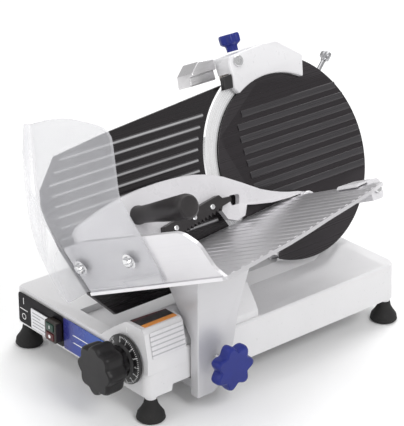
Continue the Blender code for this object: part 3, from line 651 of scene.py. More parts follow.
rows = []
for i in range(8):
    b = 69.0 - 15.3 * i
    right = math.sqrt(SHROUD_R ** 2 - b ** 2) - 1.6
    left = -math.sqrt(COVER_R ** 2 - b ** 2) + 30
    rows.append((b, max(left, -64), right))
join(cover, ridges("ribs", rows, 9.0, 1.4, 0.2, BLADE, 10))

lathe("ring_guard", [(128.4, -13), (131.4, -13), (131.8, -12.5),
                     (131.6, -0.9), (128.4, -0.9)], DARK,
      BLADE, 40, -112.0, 173.0)
lathe("slice_deflector", [(100.0, -58), (101.4, -58), (101.4, -19.2),
                          (100.0, -19.2)], STEEL, BLADE, 24, 148.0, 84.0)
knob_dir = (Y * 0.785 + V * 0.62).normalized()
post_at = HUB + N * -30 + knob_dir * 91.0
post_frame = basis(post_at, N, knob_dir.cross(N).normalized(), knob_dir)
lathe("guard_release_stem", [(0, 0), (5, 0), (5, 4), (3, 6), (3, 73), (0, 73)],
      STEEL, post_frame, 20)
knob_frame = basis(post_at + knob_dir * 73.5, N,
                   knob_dir.cross(N).normalized(), knob_dir)
rel = stacked("guard_release_knob",
              [(scaled(lobed(8.0, 2.0, 3, 6, 0.8), k), h) for h, k in
               ((0, 0.5), (3, 0.55), (5, 0.95), (11, 1.0), (12.5, 0.85))],
              STEEL, knob_frame, 30)

# =============================================================== gauge plate
G0 = BLADE_R + 2.6
gp = ([(-66.0, 111.5)] + [(-256.0, 96.6), (-331.0, 88.0), (-361.5, 55.0),
                          (-366.5, 36.0), (-364.8, 18.0), (-358.9, -17.0),
                          (-338.5, -78.0), (-311.0, -111.0), (-66.6, -111.0)])
edge = arc(0, 0, G0, 239.0, 121.0, 26)
outline = gp[1:-1] + edge
gauge = prism("gauge_plate", outline, -GAUGE_T, -0.6, DARK, BLADE)
bevel(gauge, 0.8, 1, 60)
rows = []
for i in range(11):
    b = 82.3 - RIB_PITCH * i
    r = math.sqrt(G0 ** 2 - b ** 2) + 9
    left = -352.0
    if b > 55:
        left = -361.5 + (b - 55) * 0.92 + 8
    elif b < 0:
        left = -358 + (-b) * 0.34
    rows.append((b, left, -r))
join(gauge, ridges("ribs", rows, 5.6, 1.0, -1.4, BLADE))

bracket = prism("gauge_bracket", rounded([(-292, -104), (-188, -104),
                                          (-188, -58), (-216, -34),
                                          (-264, -34), (-292, -58)], 8, 3),
                -32, -GAUGE_T - GAP, CAST, BLADE)
bevel(bracket, 1.5, 1)
cut(bracket, rod("hole", 8.3, 60, None, blade_at(-240, -76, -60), 0.1, 14))
rod("gauge_guide_rod", 8.0, 72, STEEL, blade_at(-240, -76, -82))
gpost = yz_prism("gauge_guide_post",
                 rounded([(-126, DECK + GAP), (-88, DECK + GAP), (-88, 104),
                          (-98, 118), (-116, 118), (-126, 104)], 6, 3),
                 -66, -44, CAST)
cut(gpost, rod("hole", 8.3, 120, None, blade_at(-240, -76, -120), 0.1, 14))

# ================================================================= sharpener
# grinding housing over the top of the blade
outer = ([(-58, 104), (-55, 118), (-55, 136), (-50, 143.0), (6, 147),
          (28, 146), (64, 119), (57, 92)])
inner = arc(0, 0, 107.6, 58.5, 118.5, 18)
sc = prism("sharpener_cover", outer[:-1] + [(56.0, 92.0)] + inner[1:], -34,
           9.5, WHITE, BLADE)
bevel(sc, 2.2, 2, 50)
slot = lathe("slot", [(60, -20), (134.0, -20), (134.0, 2.2), (60, 2.2)], None,
             BLADE, 80, 40, 100)
cut(sc, slot)
back_cut = prism("back_cut", [(-80, 60), (80, 60), (80, 137), (-80, 137)],
                 -60, -19, None, BLADE)
cut(sc, back_cut)
body = prism("sharpener_body", rounded([(-101, 119), (-59.5, 119),
                                        (-59.5, 144.5), (-84, 147),
                                        (-98, 135)], 2.0, 3), -46, -13,
             ALU, BLADE)
wedge = prism("wedge", [(-120, 110), (-40, 110), (-40, 132), (-120, 130)],
              -19, -5, None, BLADE)
cut(body, wedge)
bevel(body, 1.2, 1)
lathe("grinding_stone", [(0, 0), (13, 0), (14, 1), (14, 7), (13, 8), (0, 8)],
      ((0.45, 0.42, 0.38), 0.9, 0.0), blade_at(-34, 117.0, -28), 20)
lathe("truing_stone", [(0, 0), (8, 0), (8.6, 0.6), (8.6, 5.4), (8, 6),
                       (0, 6)], ((0.85, 0.83, 0.78), 0.9, 0.0),
      blade_at(-6, 119.0, -27), 16)
knob_axis = basis(blade_point(-29, 147.2, -10), Y, N * -1.0, V)
sk = stacked("sharpener_knob",
             [(scaled(lobed(14.0, 2.4, 6, 5, 0.8), k), h) for h, k in
              ((0, 0.55), (7, 0.60), (10, 0.92), (12, 1.0), (20, 1.0),
               (22, 0.92))], BLUE, knob_axis, 30)
lathe("sharpener_screw", [(0, 0), (7.6, 0), (7.6, 1.4), (6.6, 2.4), (4.2, 2.4),
                          (4.2, 1.3), (0, 1.3)], STEEL,
      blade_at(-41, 134.5, 9.8), 16)
prism("sharpener_catch", [(-72, 104), (-58.6, 104), (-55.8, 117.5),
                          (-55.8, 121), (-69, 119.5)], 0.9, 8.8, BLACK, BLADE)

# ================================================================== carriage
# ribbed tray with its leaning front wall
floor_edge = [(0.0, -2.0), (258.0, -2.0), (263.0, 3.0), (261.0, 24.0),
              (257.0, 51.0), (248.0, 108.0), (236.0, 152.0), (223.0, 190.0),
              (208.0, 245.0), (194.0, 288.0), (180.0, 322.0),
              (176.0, 326.0), (0.0, 326.0)]
tray = prism("tray", floor_edge, -TRAY_T, 0.0, ALU, TRAY)
wall_edge = rounded([(0.0, -3.6), (0.0, 62.0), (44.0, 66.5), (232.0, 60.0),
                     (249.5, 42.0), (251.0, 12.0), (262.0, -3.6)],
                    [0, 4, 40, 26, 16, 22, 0], 6)
wall = prism("front_wall", wall_edge, -4.0, 0.0, None, WALLF)
join(tray, wall)
rows = []
for i in range(20):
    d = 14.0 + i * 15.8
    right = 0.0
    for p, q in zip(floor_edge[2:-2], floor_edge[3:-1]):
        if p[1] <= d <= q[1]:
            right = p[0] + (q[0] - p[0]) * (d - p[1]) / (q[1] - p[1])
    rows.append((d, 2.0, right - 3.5))
join(tray, ridges("ribs", rows, 6.4, 1.2, -1.0, TRAY, 8))
# far edge fitting for the inner end of the pusher rod
ry = ROD_Y - HUB.y
ear = prism("ear", rounded([(ry - 24, ROD_V + 6.9), (ry + 7.6, ROD_V + 7.6),
                            (ry + 7.6, ROD_V - 7.6), (ry - 24, ROD_V - 7.6)],
                           [0, 6, 6, 3], 4), 4.0, 12.0, None, BLADE)
cut(ear, rod("hole", ROD_R + GAP, 40, None,
             blade_at(ry, ROD_V, -10), 0.1, 14))
join(tray, ear)

# bracket at the far outer corner of the tray
bracket2 = prism("rod_bracket",
                 rounded([(ry - 30, ROD_V + 13.5), (ry + 9.5, ROD_V + 12.5),
                          (ry + 9.5, ROD_V - 13), (ry - 9.0, ROD_V - 13),
                          (ry - 30, ROD_V + 2)],
                         [8, 8, 6, 4, 2], 3), 115, 152, WHITE, BLADE)
under = box("under", 100, 200, 200, 326.4, -30.0, GAP + 1.7, None, TRAY)
cut(bracket2, under)
cut(bracket2, rod("hole", ROD_R + GAP, 200, None, blade_at(ry, ROD_V, 50),
                  0.1, 14))
rod("pusher_rod", ROD_R, 152, STEEL, blade_at(ry, ROD_V, 5.0), 0.8, 16)

# column under the tray, outside the base, with the foot that reaches in
# below the wall of the base to the slide block
col = xz_prism("carriage_column",
               [(92, 142), (86, 152), (86, 240), (COLUMN_X1, 240),
                (COLUMN_X1, 14.5), (COLUMN_X0, 14.5), (COLUMN_X0, 88),
                (129.5, 92)], -141, -50, CAST)
profile = yz_prism("profile", [(-141, 14), (-118, 14), (-104, 24), (-94, 46),
                               (-86, 72), (-79, 109), (-66, 150), (-52, 186),
                               (-48, 240), (-200, 240), (-200, 14)], 60, 160)
mod = col.modifiers.new("keep", "BOOLEAN")
mod.operation = "INTERSECT"
mod.solver = "EXACT"
mod.object = profile
profile.hide_render = True
profile.display_type = "WIRE"
settle(col)
bpy.data.objects.remove(profile)
above = box("above", -60, 320, -40, 420, -TRAY_T - GAP, 200, None, TRAY)
cut(col, above)
bevel(col, 1.2, 1, 40)
foot_arm = box("foot_arm", 79, 140, -130, -108, 14.5, 26.0)
hanger = box("hanger", 79, 101, -130, -108, 20, 31.7)
join(col, foot_arm, hanger)

sb = box("slide_block", SLIDE_X - 12, SLIDE_X + 12, -150, -74, 32, 54.6, ALU)
bevel(sb, 1.0, 1)
cut(sb, rod("hole", 8.3, 200, None, along_y(SLIDE_X, -20, SLIDE_Z), 0.1, 14))
rod("slide_rod", 8.0, 392.0, STEEL, along_y(SLIDE_X, 196.0, SLIDE_Z))

# blue clamping knob on the outside of the column
KX, KY, KZ = COLUMN_X1 + GAP, -114.0, 60.0
rod("carriage_stud", 5.0, 12.0, STEEL, along_x(KX, KY, KZ))
layers = [(scaled(lobed(29.0, 7.0, 7, 6, 0.9), k), h) for h, k in
          ((0, 0.45), (6, 0.50), (8, 0.90), (11, 0.99), (19, 1.0),
           (22.5, 0.95), (23.5, 0.88))]
stacked("carriage_knob", layers, BLUE, along_x(KX + 12.3, KY, KZ), 30)

# clear guard: front panel on the wall plus a wing towards the operator
CL, SL = math.cos(LEAN), math.sin(LEAN)
yv = []


def wall_yv(h):
    return (-206.0 - h * SL, -75.6 + h * CL)


rows = []
for h, l, r in ((3.0, 3.4, 157), (20, 3.4, 160), (60, 3.4, 164.5),
                (85, 3.4, 167.5), (103, 3.4, 169.0)):
    y, v = wall_yv(h)
    rows.append((y, v, l, r, LEAN))
y0, v0 = wall_yv(103)
lean = LEAN
L = 0
for k in range(1, 6):
    lean2 = LEAN - math.radians(32) * k / 5
    y0 -= 4.0 * math.sin((lean + lean2) / 2)
    v0 += 4.0 * math.cos((lean + lean2) / 2)
    lean = lean2
    rows.append((y0, v0, 3.4, 169.0, lean))
ub = (y0, v0)
for v, r in ((50, 168.5), (76, 167.5), (90, 166.5), (96, 165), (103, 160),
             (109, 149), (114, 134), (118, 120), (122, 104), (126, 88),
             (128.5, 72), (130, 55), (131, 36)):
    rows.append((y0 + (v - v0) * math.tan(-lean), v, 3.4, r, lean))
bm = bmesh.new()
GT = 3.6
prev = None
for y, v, l, r, ln in rows:
    oy, ov = -math.cos(ln), -math.sin(ln)      # outward, to the operator
    quad = []
    for s, off in ((l, 0.4), (r, 0.4), (r, 0.4 + GT), (l, 0.4 + GT)):
        p = Vector((y + oy * off - HUB.y, v + ov * off, s))
        quad.append(bm.verts.new(p))
    if prev:
        for i in range(4):
            j = (i + 1) % 4
            bm.faces.new((prev[i], prev[j], quad[j], quad[i]))
    else:
        bm.faces.new(quad)
    prev = quad
bm.faces.new(list(reversed(prev)))
CLEAR = ((0.86, 0.86, 0.88), 0.1, 0.0, 0.35)
guard = make("guard", bm, CLEAR, BLADE)
wing_pts = []
for y, v, l, r, ln in rows:
    wing_pts.append((y - 2.4 * math.cos(ln) - HUB.y,
                     v - 2.4 * math.sin(ln)))
outer_edge = [(-231.0, 134.0), (-243.0, 104.0), (-251.0, 75.0),
              (-257.0, 45.0), (-260.5, 17.0), (-260.5, -7.0),
              (-255.5, -35.0), (-248.0, -66.0), (-242.0, -78.0)]
wing = prism("wing", [(p[0], p[1]) for p in wing_pts]
             + [(y - HUB.y, v) for y, v in outer_edge], 3.4, 3.4 + GT, None,
             BLADE)
join(guard, wing)
for name, s in (("guard_screw_left", 20.5), ("guard_screw_right", 120.0)):
    f = WALLF @ Matrix.Translation(Vector((s, 37.0, 0.4 + GT + 0.3)) * MM)
    sc1 = lathe(name, [(0, 0), (9.0, 0), (9.4, 0.4), (9.4, 1.5), (6.6, 1.9),
                       (6.6, 3.4), (5.6, 6.4), (3.2, 7.6), (0, 7.6)], STEEL,
                f, 16)
    cut(sc1, box("slot", -8, 8, -0.8, 0.8, 5.6, 10, None, f))

# pusher: a long arched arm that slides and swings on the rod
top = [(-349.0, -4.0), (-344.0, 1.5), (-337.0, 4.6), (-308.0, 12.6),
       (-275.0, 19.4), (-243.0, 22.0), (-213.0, 22.3), (-188.0, 21.0),
       (-163.0, 17.8), (-141.0, 12.2), (-121.0, 4.0), (-96.0, -10.0),
       (-71.0, -25.0), (-55.0, -32.0), (-41.0, -37.0), (-28.0, -40.6),
       (-13.0, -43.6)]
hub = arc(ry, ROD_V, 10.5, 90, -100, 10) + [(-10.5, -47.4)]
low = [(-27.0, -47.8), (-58.0, -46.0), (-85.0, -41.0), (-97.0, -38.0),
       (-104.0, -50.0), (-118.0, -52.5), (-131.0, -47.0), (-141.0, -26.0),
       (-190.0, -33.0), (-236.0, -41.0), (-300.0, -44.0), (-338.0, -42.0),
       (-346.0, -28.0)]
arm = prism("pusher_arm", top + hub + low, 13.0, 21.0, WHITE, BLADE)
join(arm, rod("hub", 11.2, 12, None, blade_at(ry, ROD_V, 13.6), 1.0, 24))
cut(arm, rod("hole", 8.0, 80, None, blade_at(ry, ROD_V, 0), 0.1, 14))
tube("pusher_sleeve", ROD_R + GAP, 7.7, 17.0, STEEL,
     blade_at(ry, ROD_V, 12.3), 18)
cut(arm, prism("window", rounded([(-122, -20), (-104, -22), (-108, -34),
                                  (-120, -33)], 3, 3), 5, 30, None, BLADE))
lathe("pusher_handle", [(0, 0), (11.5, 0), (11.5, 3), (10.2, 6), (11.2, 30),
                        (13.4, 62), (15.2, 92), (15.4, 99), (14.4, 103),
                        (12.0, 104.6), (0, 102.4)], BLACK,
      blade_at(-258.0, -6.5, 21.3), 20)
# toothed gripper along the lower edge of the arm
teeth = [(-236.0, -32.0), (-141.0, -16.0)]
g = []
n_teeth = 16
for i in range(n_teeth):
    a = -236.0 + 95.0 * i / n_teeth
    b = -50.0 + 17.0 * i / n_teeth
    g += [(a, b + 4.0), (a + 2.9, b)]
g += [(-141.0, -29.0), (-126.0, -26.5), (-125.0, -20.5), (-138.0, -19.5),
      (-142.0, -14.5), (-160.0, -17.0), (-232.0, -29.5)]
prism("gripper", g, 21.3, 31.0, BLACK, BLADE)



# =================================================================== finishes
class Tree:
    """Small helper for building node materials.  frame is the piece's own
    frame, so that grain and printing follow the piece's axes."""

    frame = Matrix.Identity(4)

    def __init__(self, name):
        self.m = bpy.data.materials.new(name)
        self.m.use_nodes = True
        self.t = self.m.node_tree
        self.p = self.t.nodes["Principled BSDF"]
        tc = self.t.nodes.new("ShaderNodeTexCoord")
        mp = self.t.nodes.new("ShaderNodeMapping")
        mp.vector_type = "TEXTURE"
        mp.inputs["Location"].default_value = Tree.frame.to_translation()
        mp.inputs["Rotation"].default_value = Tree.frame.to_euler("XYZ")
        self.t.links.new(tc.outputs["Object"], mp.inputs["Vector"])
        self.base = mp.outputs["Vector"]

    def n(self, kind, **sets):
        node = self.t.nodes.new("ShaderNode" + kind)
        for k, v in sets.items():
            if hasattr(node, k) and k not in ("Scale",):
                setattr(node, k, v)
        return node

    def link(self, a, b):
        self.t.links.new(a, b)

    def coords(self, scale=(1, 1, 1), rot=(0, 0, 0), loc=(0, 0, 0)):
        mp = self.n("Mapping")
        mp.inputs["Scale"].default_value = scale
        mp.inputs["Rotation"].default_value = rot
        mp.inputs["Location"].default_value = loc
        self.link(self.base, mp.inputs["Vector"])
        return mp.outputs["Vector"]

    def noise(self, vec, scale, detail=3.0, rough=0.55, distortion=0.0):
        nz = self.n("TexNoise")
        nz.inputs["Scale"].default_value = scale
        nz.inputs["Detail"].default_value = detail
        nz.inputs["Roughness"].default_value = rough
        nz.inputs["Distortion"].default_value = distortion
        self.link(vec, nz.inputs["Vector"])
        return nz.outputs["Fac"]

    def ramp(self, fac, stops, interp="LINEAR"):
        r = self.n("ValToRGB")
        r.color_ramp.interpolation = interp
        el = r.color_ramp.elements
        while len(el) > 1:
            el.remove(el[-1])
        el[0].position = stops[0][0]
        el[0].color = (*stops[0][1], 1)
        for pos, col in stops[1:]:
            e = el.new(pos)
            e.color = (*col, 1)
        self.link(fac, r.inputs["Fac"])
        return r.outputs["Color"]

    def grey(self, fac, a, b, lo=0.3, hi=0.7):
        mr = self.n("MapRange")
        mr.inputs["From Min"].default_value = lo
        mr.inputs["From Max"].default_value = hi
        mr.inputs["To Min"].default_value = a
        mr.inputs["To Max"].default_value = b
        self.link(fac, mr.inputs["Value"])
        return mr.outputs["Result"]

    def mix(self, fac, a, b, blend="MIX"):
        mx = self.n("Mix")
        mx.data_type = "RGBA"
        mx.blend_type = blend
        for sock, val in ((mx.inputs["Factor"], fac), (mx.inputs[6], a),
                          (mx.inputs[7], b)):
            if hasattr(val, "is_output"):
                self.link(val, sock)
            elif isinstance(val, (int, float)):
                sock.default_value = val
            else:
                sock.default_value = (*val, 1)
        return mx.outputs[2]

    def math(self, op, a, b=0.0, c=0.0):
        mt = self.n("Math")
        mt.operation = op
        for i, v in enumerate((a, b, c)):
            if hasattr(v, "is_output"):
                self.link(v, mt.inputs[i])
            else:
                mt.inputs[i].default_value = v
        return mt.outputs[0]

    def sep(self, vec):
        s = self.n("SeparateXYZ")
        self.link(vec, s.inputs[0])
        return s.outputs

    def comb(self, x=0.0, y=0.0, z=0.0):
        s = self.n("CombineXYZ")
        for i, v in enumerate((x, y, z)):
            if hasattr(v, "is_output"):
                self.link(v, s.inputs[i])
            else:
                s.inputs[i].default_value = v
        return s.outputs[0]

    # mask of convex edges: edge wear on most finishes, a painted edge highlight
    # on the clear guard
    def edge_wear(self, lo=0.52, hi=0.60):
        g = self.n("NewGeometry")
        return self.grey(g.outputs["Pointiness"], 0.0, 1.0, lo, hi)

    def bump(self, height, strength, distance, prev=None):
        b = self.n("Bump")
        b.inputs["Strength"].default_value = strength
        b.inputs["Distance"].default_value = distance
        self.link(height, b.inputs["Height"])
        if prev is not None:
            self.link(prev, b.inputs["Normal"])
        return b.outputs["Normal"]

    def done(self, color=None, rough=None, normal=None, metal=0.0, **fixed):
        p = self.p
        p.inputs["Metallic"].default_value = metal
        for k, v in fixed.items():
            p.inputs[k.replace("_", " ")].default_value = v
        if color is not None:
            self.link(color, p.inputs["Base Color"])
        if rough is not None:
            self.link(rough, p.inputs["Roughness"])
        if normal is not None:
            self.link(normal, p.inputs["Normal"])
        return self.m


def enamel(name, rgb=(0.80, 0.79, 0.81), rough=0.34, grime=0.10):
    """White baked enamel over a casting: faint orange peel, soft mottling, slight
    greying in random patches."""
    t = Tree(name)
    v = t.coords()
    big = t.noise(v, 9.0, 4, 0.6)
    mid = t.noise(v, 60.0, 3, 0.6)
    fine = t.noise(v, 900.0, 2, 0.5)
    c = t.ramp(big, [(0.30, tuple(x * (1 - grime * 0.5) for x in rgb)),
                     (0.55, rgb), (0.8, tuple(min(1, x * 1.03) for x in rgb))])
    specks = t.grey(t.noise(v, 420.0, 1, 0.4), 0.0, 1.0, 0.72, 0.78)
    c = t.mix(specks, c, tuple(x * 0.86 for x in rgb))
    wear_and_glint = t.edge_wear(0.56, 0.68)
    c = t.mix(t.math("MULTIPLY", wear_and_glint, 0.35), c, (0.93, 0.93, 0.94))
    r = t.grey(mid, rough - 0.05, rough + 0.08)
    nb = t.bump(fine, 0.05, 0.0003)
    nb = t.bump(mid, 0.03, 0.0008, nb)
    return t.done(c, r, nb, 0.0, Specular_IOR_Level=0.5, Coat_Weight=0.15,
                  Coat_Roughness=0.12)


def plastic(name, rgb, rough=0.38, grain=1500.0, strength=0.12, coat=0.0,
            spec=0.5):
    t = Tree(name)
    v = t.coords()
    big = t.noise(v, 30.0, 4, 0.6)
    fine = t.noise(v, grain, 2, 0.5)
    hi = tuple(min(1.0, x * 1.25 + 0.012) for x in rgb)
    c = t.ramp(big, [(0.25, tuple(x * 0.82 for x in rgb)), (0.55, rgb),
                     (0.85, hi)])
    wear_and_glint = t.edge_wear(0.55, 0.66)
    c = t.mix(t.math("MULTIPLY", wear_and_glint, 0.45), c,
              tuple(min(1, x * 1.6 + 0.05) for x in rgb))
    r = t.grey(big, rough - 0.06, rough + 0.10)
    nb = t.bump(fine, strength, 0.0003)
    return t.done(c, r, nb, 0.0, Specular_IOR_Level=spec, Coat_Weight=coat,
                  Coat_Roughness=0.15)


def rubber(name):
    t = Tree(name)
    v = t.coords()
    dust = t.noise(v, 70.0, 5, 0.65)
    fine = t.noise(v, 1100.0, 2, 0.5)
    c = t.ramp(dust, [(0.3, (0.012, 0.012, 0.012)), (0.6, (0.022, 0.021, 0.021)),
                      (0.85, (0.06, 0.058, 0.055))])
    r = t.grey(dust, 0.62, 0.85)
    nb = t.bump(fine, 0.25, 0.0004)
    return t.done(c, r, nb, 0.0, Specular_IOR_Level=0.35)


def metal_turned(name, rgb=(0.80, 0.80, 0.81), rough=0.20, ring=900.0,
                 depth=0.10, metal=1.0):
    """Turned or ground steel: rings round local z."""
    t = Tree(name)
    o = t.sep(t.base)
    r2 = t.math("SQRT", t.math("ADD", t.math("MULTIPLY", o[0], o[0]),
                               t.math("MULTIPLY", o[1], o[1])))
    ringv = t.comb(t.math("MULTIPLY", r2, ring), 0.0,
                   t.math("MULTIPLY", o[2], ring))
    rings = t.noise(ringv, 1.0, 3, 0.7)
    broad = t.noise(t.base, 14.0, 3, 0.5)
    c = t.ramp(rings, [(0.25, tuple(x * 0.86 for x in rgb)), (0.6, rgb),
                       (0.9, tuple(min(1, x * 1.08) for x in rgb))])
    c = t.mix(t.grey(broad, 0.0, 0.25), c, tuple(x * 0.8 for x in rgb))
    r = t.grey(rings, rough - 0.05, rough + 0.12)
    nb = t.bump(rings, depth, 0.0002)
    return t.done(c, r, nb, metal)


def metal_brushed(name, rgb, rough=0.28, stretch=(3, 700, 700), depth=0.03,
                  metal=1.0, stain=0.2, contrast=0.06):
    """Metal with fine lines along one local axis."""
    t = Tree(name)
    lines = t.noise(t.coords(stretch), 1.0, 4, 0.65)
    broad = t.noise(t.coords(), 10.0, 4, 0.6)
    c = t.ramp(lines, [(0.25, tuple(x * (1 - contrast) for x in rgb)),
                       (0.55, rgb),
                       (0.85, tuple(min(1, x * (1 + contrast))
                                    for x in rgb))])
    c = t.mix(t.grey(broad, 0.0, stain, 0.4, 0.75), c,
              tuple(x * 0.72 for x in rgb))
    wear_and_glint = t.edge_wear(0.54, 0.64)
    c = t.mix(t.math("MULTIPLY", wear_and_glint, 0.4), c,
              tuple(min(1, x * 1.3 + 0.05) for x in rgb))
    r = t.math("ADD", t.grey(lines, rough - contrast, rough + contrast),
               t.grey(broad, 0.0, 0.06))
    nb = t.bump(lines, depth, 0.0002)
    return t.done(c, r, nb, metal)


def anodised(name, rgb=(0.016, 0.0135, 0.015), rough=0.27, crest_highlight=None):
    """Dark hard-anodised aluminium with rolling marks along the ribs; a third
    argument gives the heights between which the rib tops are painted paler, a
    painted highlight."""
    t = Tree(name)
    lines = t.noise(t.coords((2, 380, 380)), 1.0, 4, 0.65)
    broad = t.noise(t.coords(), 11.0, 5, 0.6)
    c = t.ramp(lines, [(0.25, tuple(x * 0.84 for x in rgb)), (0.55, rgb),
                       (0.85, tuple(x * 1.20 for x in rgb))])
    c = t.mix(t.grey(broad, 0.0, 0.35), c, tuple(x * 1.5 for x in rgb))
    wear_and_glint = t.edge_wear(0.53, 0.62)
    c = t.mix(t.math("MULTIPLY", wear_and_glint, 0.35), c, (0.20, 0.19, 0.20))
    # painted highlight: rib tops between the two heights are painted paler,
    # broken into patches
    if crest_highlight:
        lo, hi, pale = crest_highlight
        top = t.grey(t.sep(t.base)[2], 0.0, 1.0, lo * MM, hi * MM)
        highlight_patches = t.grey(t.noise(t.coords((6, 30, 30)), 1.0, 3, 0.5), 0.55, 1.0)
        c = t.mix(t.math("MULTIPLY", top, highlight_patches), c, pale)
    r = t.grey(lines, rough - 0.04, rough + 0.08)
    nb = t.bump(lines, 0.02, 0.0002)
    return t.done(c, r, nb, 0.25, Specular_IOR_Level=0.5)


def clear_sheet(name):
    """Clear polycarbonate: hazy from wiping, with a painted highlight that makes
    it brighter and more opaque at its edges.
    """
    t = Tree(name)
    v = t.coords()
    smear = t.noise(t.coords((14, 5, 5)), 3.0, 4, 0.5, 0.4)
    # painted highlight: the sheet's edges are painted lighter and more opaque
    wear_and_glint = t.edge_wear(0.52, 0.60)
    c = t.ramp(smear, [(0.2, (0.64, 0.64, 0.67)), (0.8, (0.72, 0.72, 0.75))])
    c = t.mix(t.math("MULTIPLY", wear_and_glint, 0.6), c, (0.86, 0.86, 0.88))
    lw = t.n("LayerWeight")
    lw.inputs["Blend"].default_value = 0.2
    a = t.math("ADD", t.grey(smear, 0.105, 0.135),
               t.math("MULTIPLY", lw.outputs["Fresnel"], 0.30))
    a = t.math("ADD", a, t.math("MULTIPLY", wear_and_glint, 0.35))
    t.link(a, t.p.inputs["Alpha"])
    r = t.grey(t.noise(v, 30.0, 3, 0.5), 0.10, 0.16)
    return t.done(c, r, None, 0.0, IOR=1.49, Specular_IOR_Level=0.3)


def stone(name, rgb):
    t = Tree(name)
    v = t.coords()
    g = t.noise(v, 1600.0, 2, 0.7)
    c = t.ramp(g, [(0.3, tuple(x * 0.55 for x in rgb)), (0.55, rgb),
                   (0.75, tuple(min(1, x * 1.35) for x in rgb))])
    return t.done(c, t.grey(g, 0.8, 0.95), t.bump(g, 0.6, 0.0006), 0.0)


def badge_print(name):
    """Printed plate: colour runs from violet to blue, with a fine screen
    and two plain pale rules instead of lettering."""
    t = Tree(name)
    o = t.sep(t.base)
    x = t.grey(o[0], 0.0, 1.0, -0.0285, 0.052)
    c = t.ramp(x, [(0.0, (0.035, 0.03, 0.16)), (0.30, (0.012, 0.030, 0.26)),
                   (0.65, (0.006, 0.055, 0.36)), (1.0, (0.010, 0.10, 0.45))])
    n = t.noise(t.base, 60.0, 4, 0.6)
    c = t.mix(t.grey(n, 0.0, 0.25), c, (0.03, 0.08, 0.42))
    fine = t.noise(t.base, 1400.0, 1, 0.5)
    return t.done(c, t.grey(n, 0.22, 0.36), t.bump(fine, 0.05, 0.0002), 0.0,
                  Coat_Weight=0.1, Coat_Roughness=0.15)


def striped_label(name, axis, stops, sheen=0.32):
    """Printed label whose colour changes along one local axis."""
    t = Tree(name)
    o = t.sep(t.base)
    lo, hi, cols = stops
    f = t.grey(o[axis], 0.0, 1.0, lo, hi)
    c = t.ramp(f, cols, "CONSTANT")
    n = t.noise(t.base, 220.0, 3, 0.6)
    c = t.mix(t.grey(n, 0.0, 0.12), c, (0.35, 0.34, 0.34))
    return t.done(c, t.grey(n, sheen - 0.05, sheen + 0.1),
                  t.bump(n, 0.04, 0.0002), 0.0)

WORLD_LIGHT = 0.60
EXPOSURE = 0.0
LIGHTS = [
    ("key", (2.0, -0.3, 1.9), (0, 0, 0.15), 0.9, 24.0),
    ("fill", (-0.6, -2.3, 1.5), (0, 0, 0.15), 1.6, 14.0),
    ("back", (-1.6, 3.0, 2.6), (-1.6, 2.2, 0.0), 2.2, 60.0),
    ("top", (-0.3, 0.4, 2.4), (0, 0, 0.1), 1.4, 15.0),
]


# ================================================== details that ride along
def plate_mark(name, pts, h0, h1, fr, body):
    ob = prism(name, pts, h0, h1, None, fr)
    EXTRA[ob.name] = body
    return ob


# ---- the sharpener's cover comes straight from its solid, welded and smoothed
def from_solid(node):
    src = frame["nodes"][node]
    bm = bmesh.new()
    bm.from_mesh(src.data)
    bmesh.ops.remove_doubles(bm, verts=bm.verts, dist=0.00001)
    bmesh.ops.dissolve_limit(bm, angle_limit=math.radians(0.6),
                             verts=bm.verts, edges=bm.edges)
    me = bpy.data.meshes.new("look_" + node)
    bm.to_mesh(me)
    bm.free()
    old = bpy.data.objects.get("look_" + node)
    if old:
        bpy.data.objects.remove(old)
    ob = bpy.data.objects.new("look_" + node, me)
    bpy.context.collection.objects.link(ob)
    ob.matrix_world = Matrix.Translation(ORIGIN * MM)
    me.shade_smooth()
    me.set_sharp_from_angle(angle=math.radians(35))
    return ob


from_solid("sharpener_cover")

# ---- thickness dial: ticks and numbers on the sloping ring
DIALF = along_y(DIAL.x, DY, DIAL.z)
SLOPE = math.atan2(6.0 - 4.2, 29.4 - 21.5)
tick_bm = bmesh.new()
for i in range(0, 67):
    deg = 100.0 - i * 5.0
    long_ = i % 5 == 0
    r0, r1 = (25.9 if long_ else 27.3), 29.2
    w = 0.48 if long_ else 0.28
    t = math.radians(deg)
    er = Vector((math.cos(t), math.sin(t), 0))
    et = Vector((-math.sin(t), math.cos(t), 0))
    up = Vector((0, 0, 1))

    def hgt(r):
        return 4.2 + (29.4 - r) * math.tan(SLOPE)
    vs = []
    for dz in (-0.15, 0.12):
        for r, s in ((r0, -w), (r1, -w), (r1, w), (r0, w)):
            vs.append(tick_bm.verts.new(er * r + et * s + up * (hgt(r) + dz)))
    tick_bm.faces.new(vs[4:8])
    tick_bm.faces.new(list(reversed(vs[0:4])))
    for k in range(4):
        tick_bm.faces.new((vs[k], vs[(k + 1) % 4], vs[4 + (k + 1) % 4],
                           vs[4 + k]))
ticks = make("dial_ticks", tick_bm, None, DIALF)
EXTRA[ticks.name] = "thickness_dial"


def numeral(name, text, size, fr, body, depth=0.12):
    cu = bpy.data.curves.new(name, "FONT")
    cu.body = text
    cu.size = size * MM
    cu.extrude = depth * MM
    cu.align_x = "CENTER"
    cu.align_y = "CENTER"
    cu.resolution_u = 4
    tmp = bpy.data.objects.new(name + "_t", cu)
    bpy.context.collection.objects.link(tmp)
    bpy.context.view_layer.update()
    me = bpy.data.meshes.new_from_object(
        tmp.evaluated_get(bpy.context.evaluated_depsgraph_get()))
    bpy.data.objects.remove(tmp)
    ob = bpy.data.objects.new(name, me)
    bpy.context.collection.objects.link(ob)
    ob.matrix_world = fr
    EXTRA[ob.name] = body
    return ob


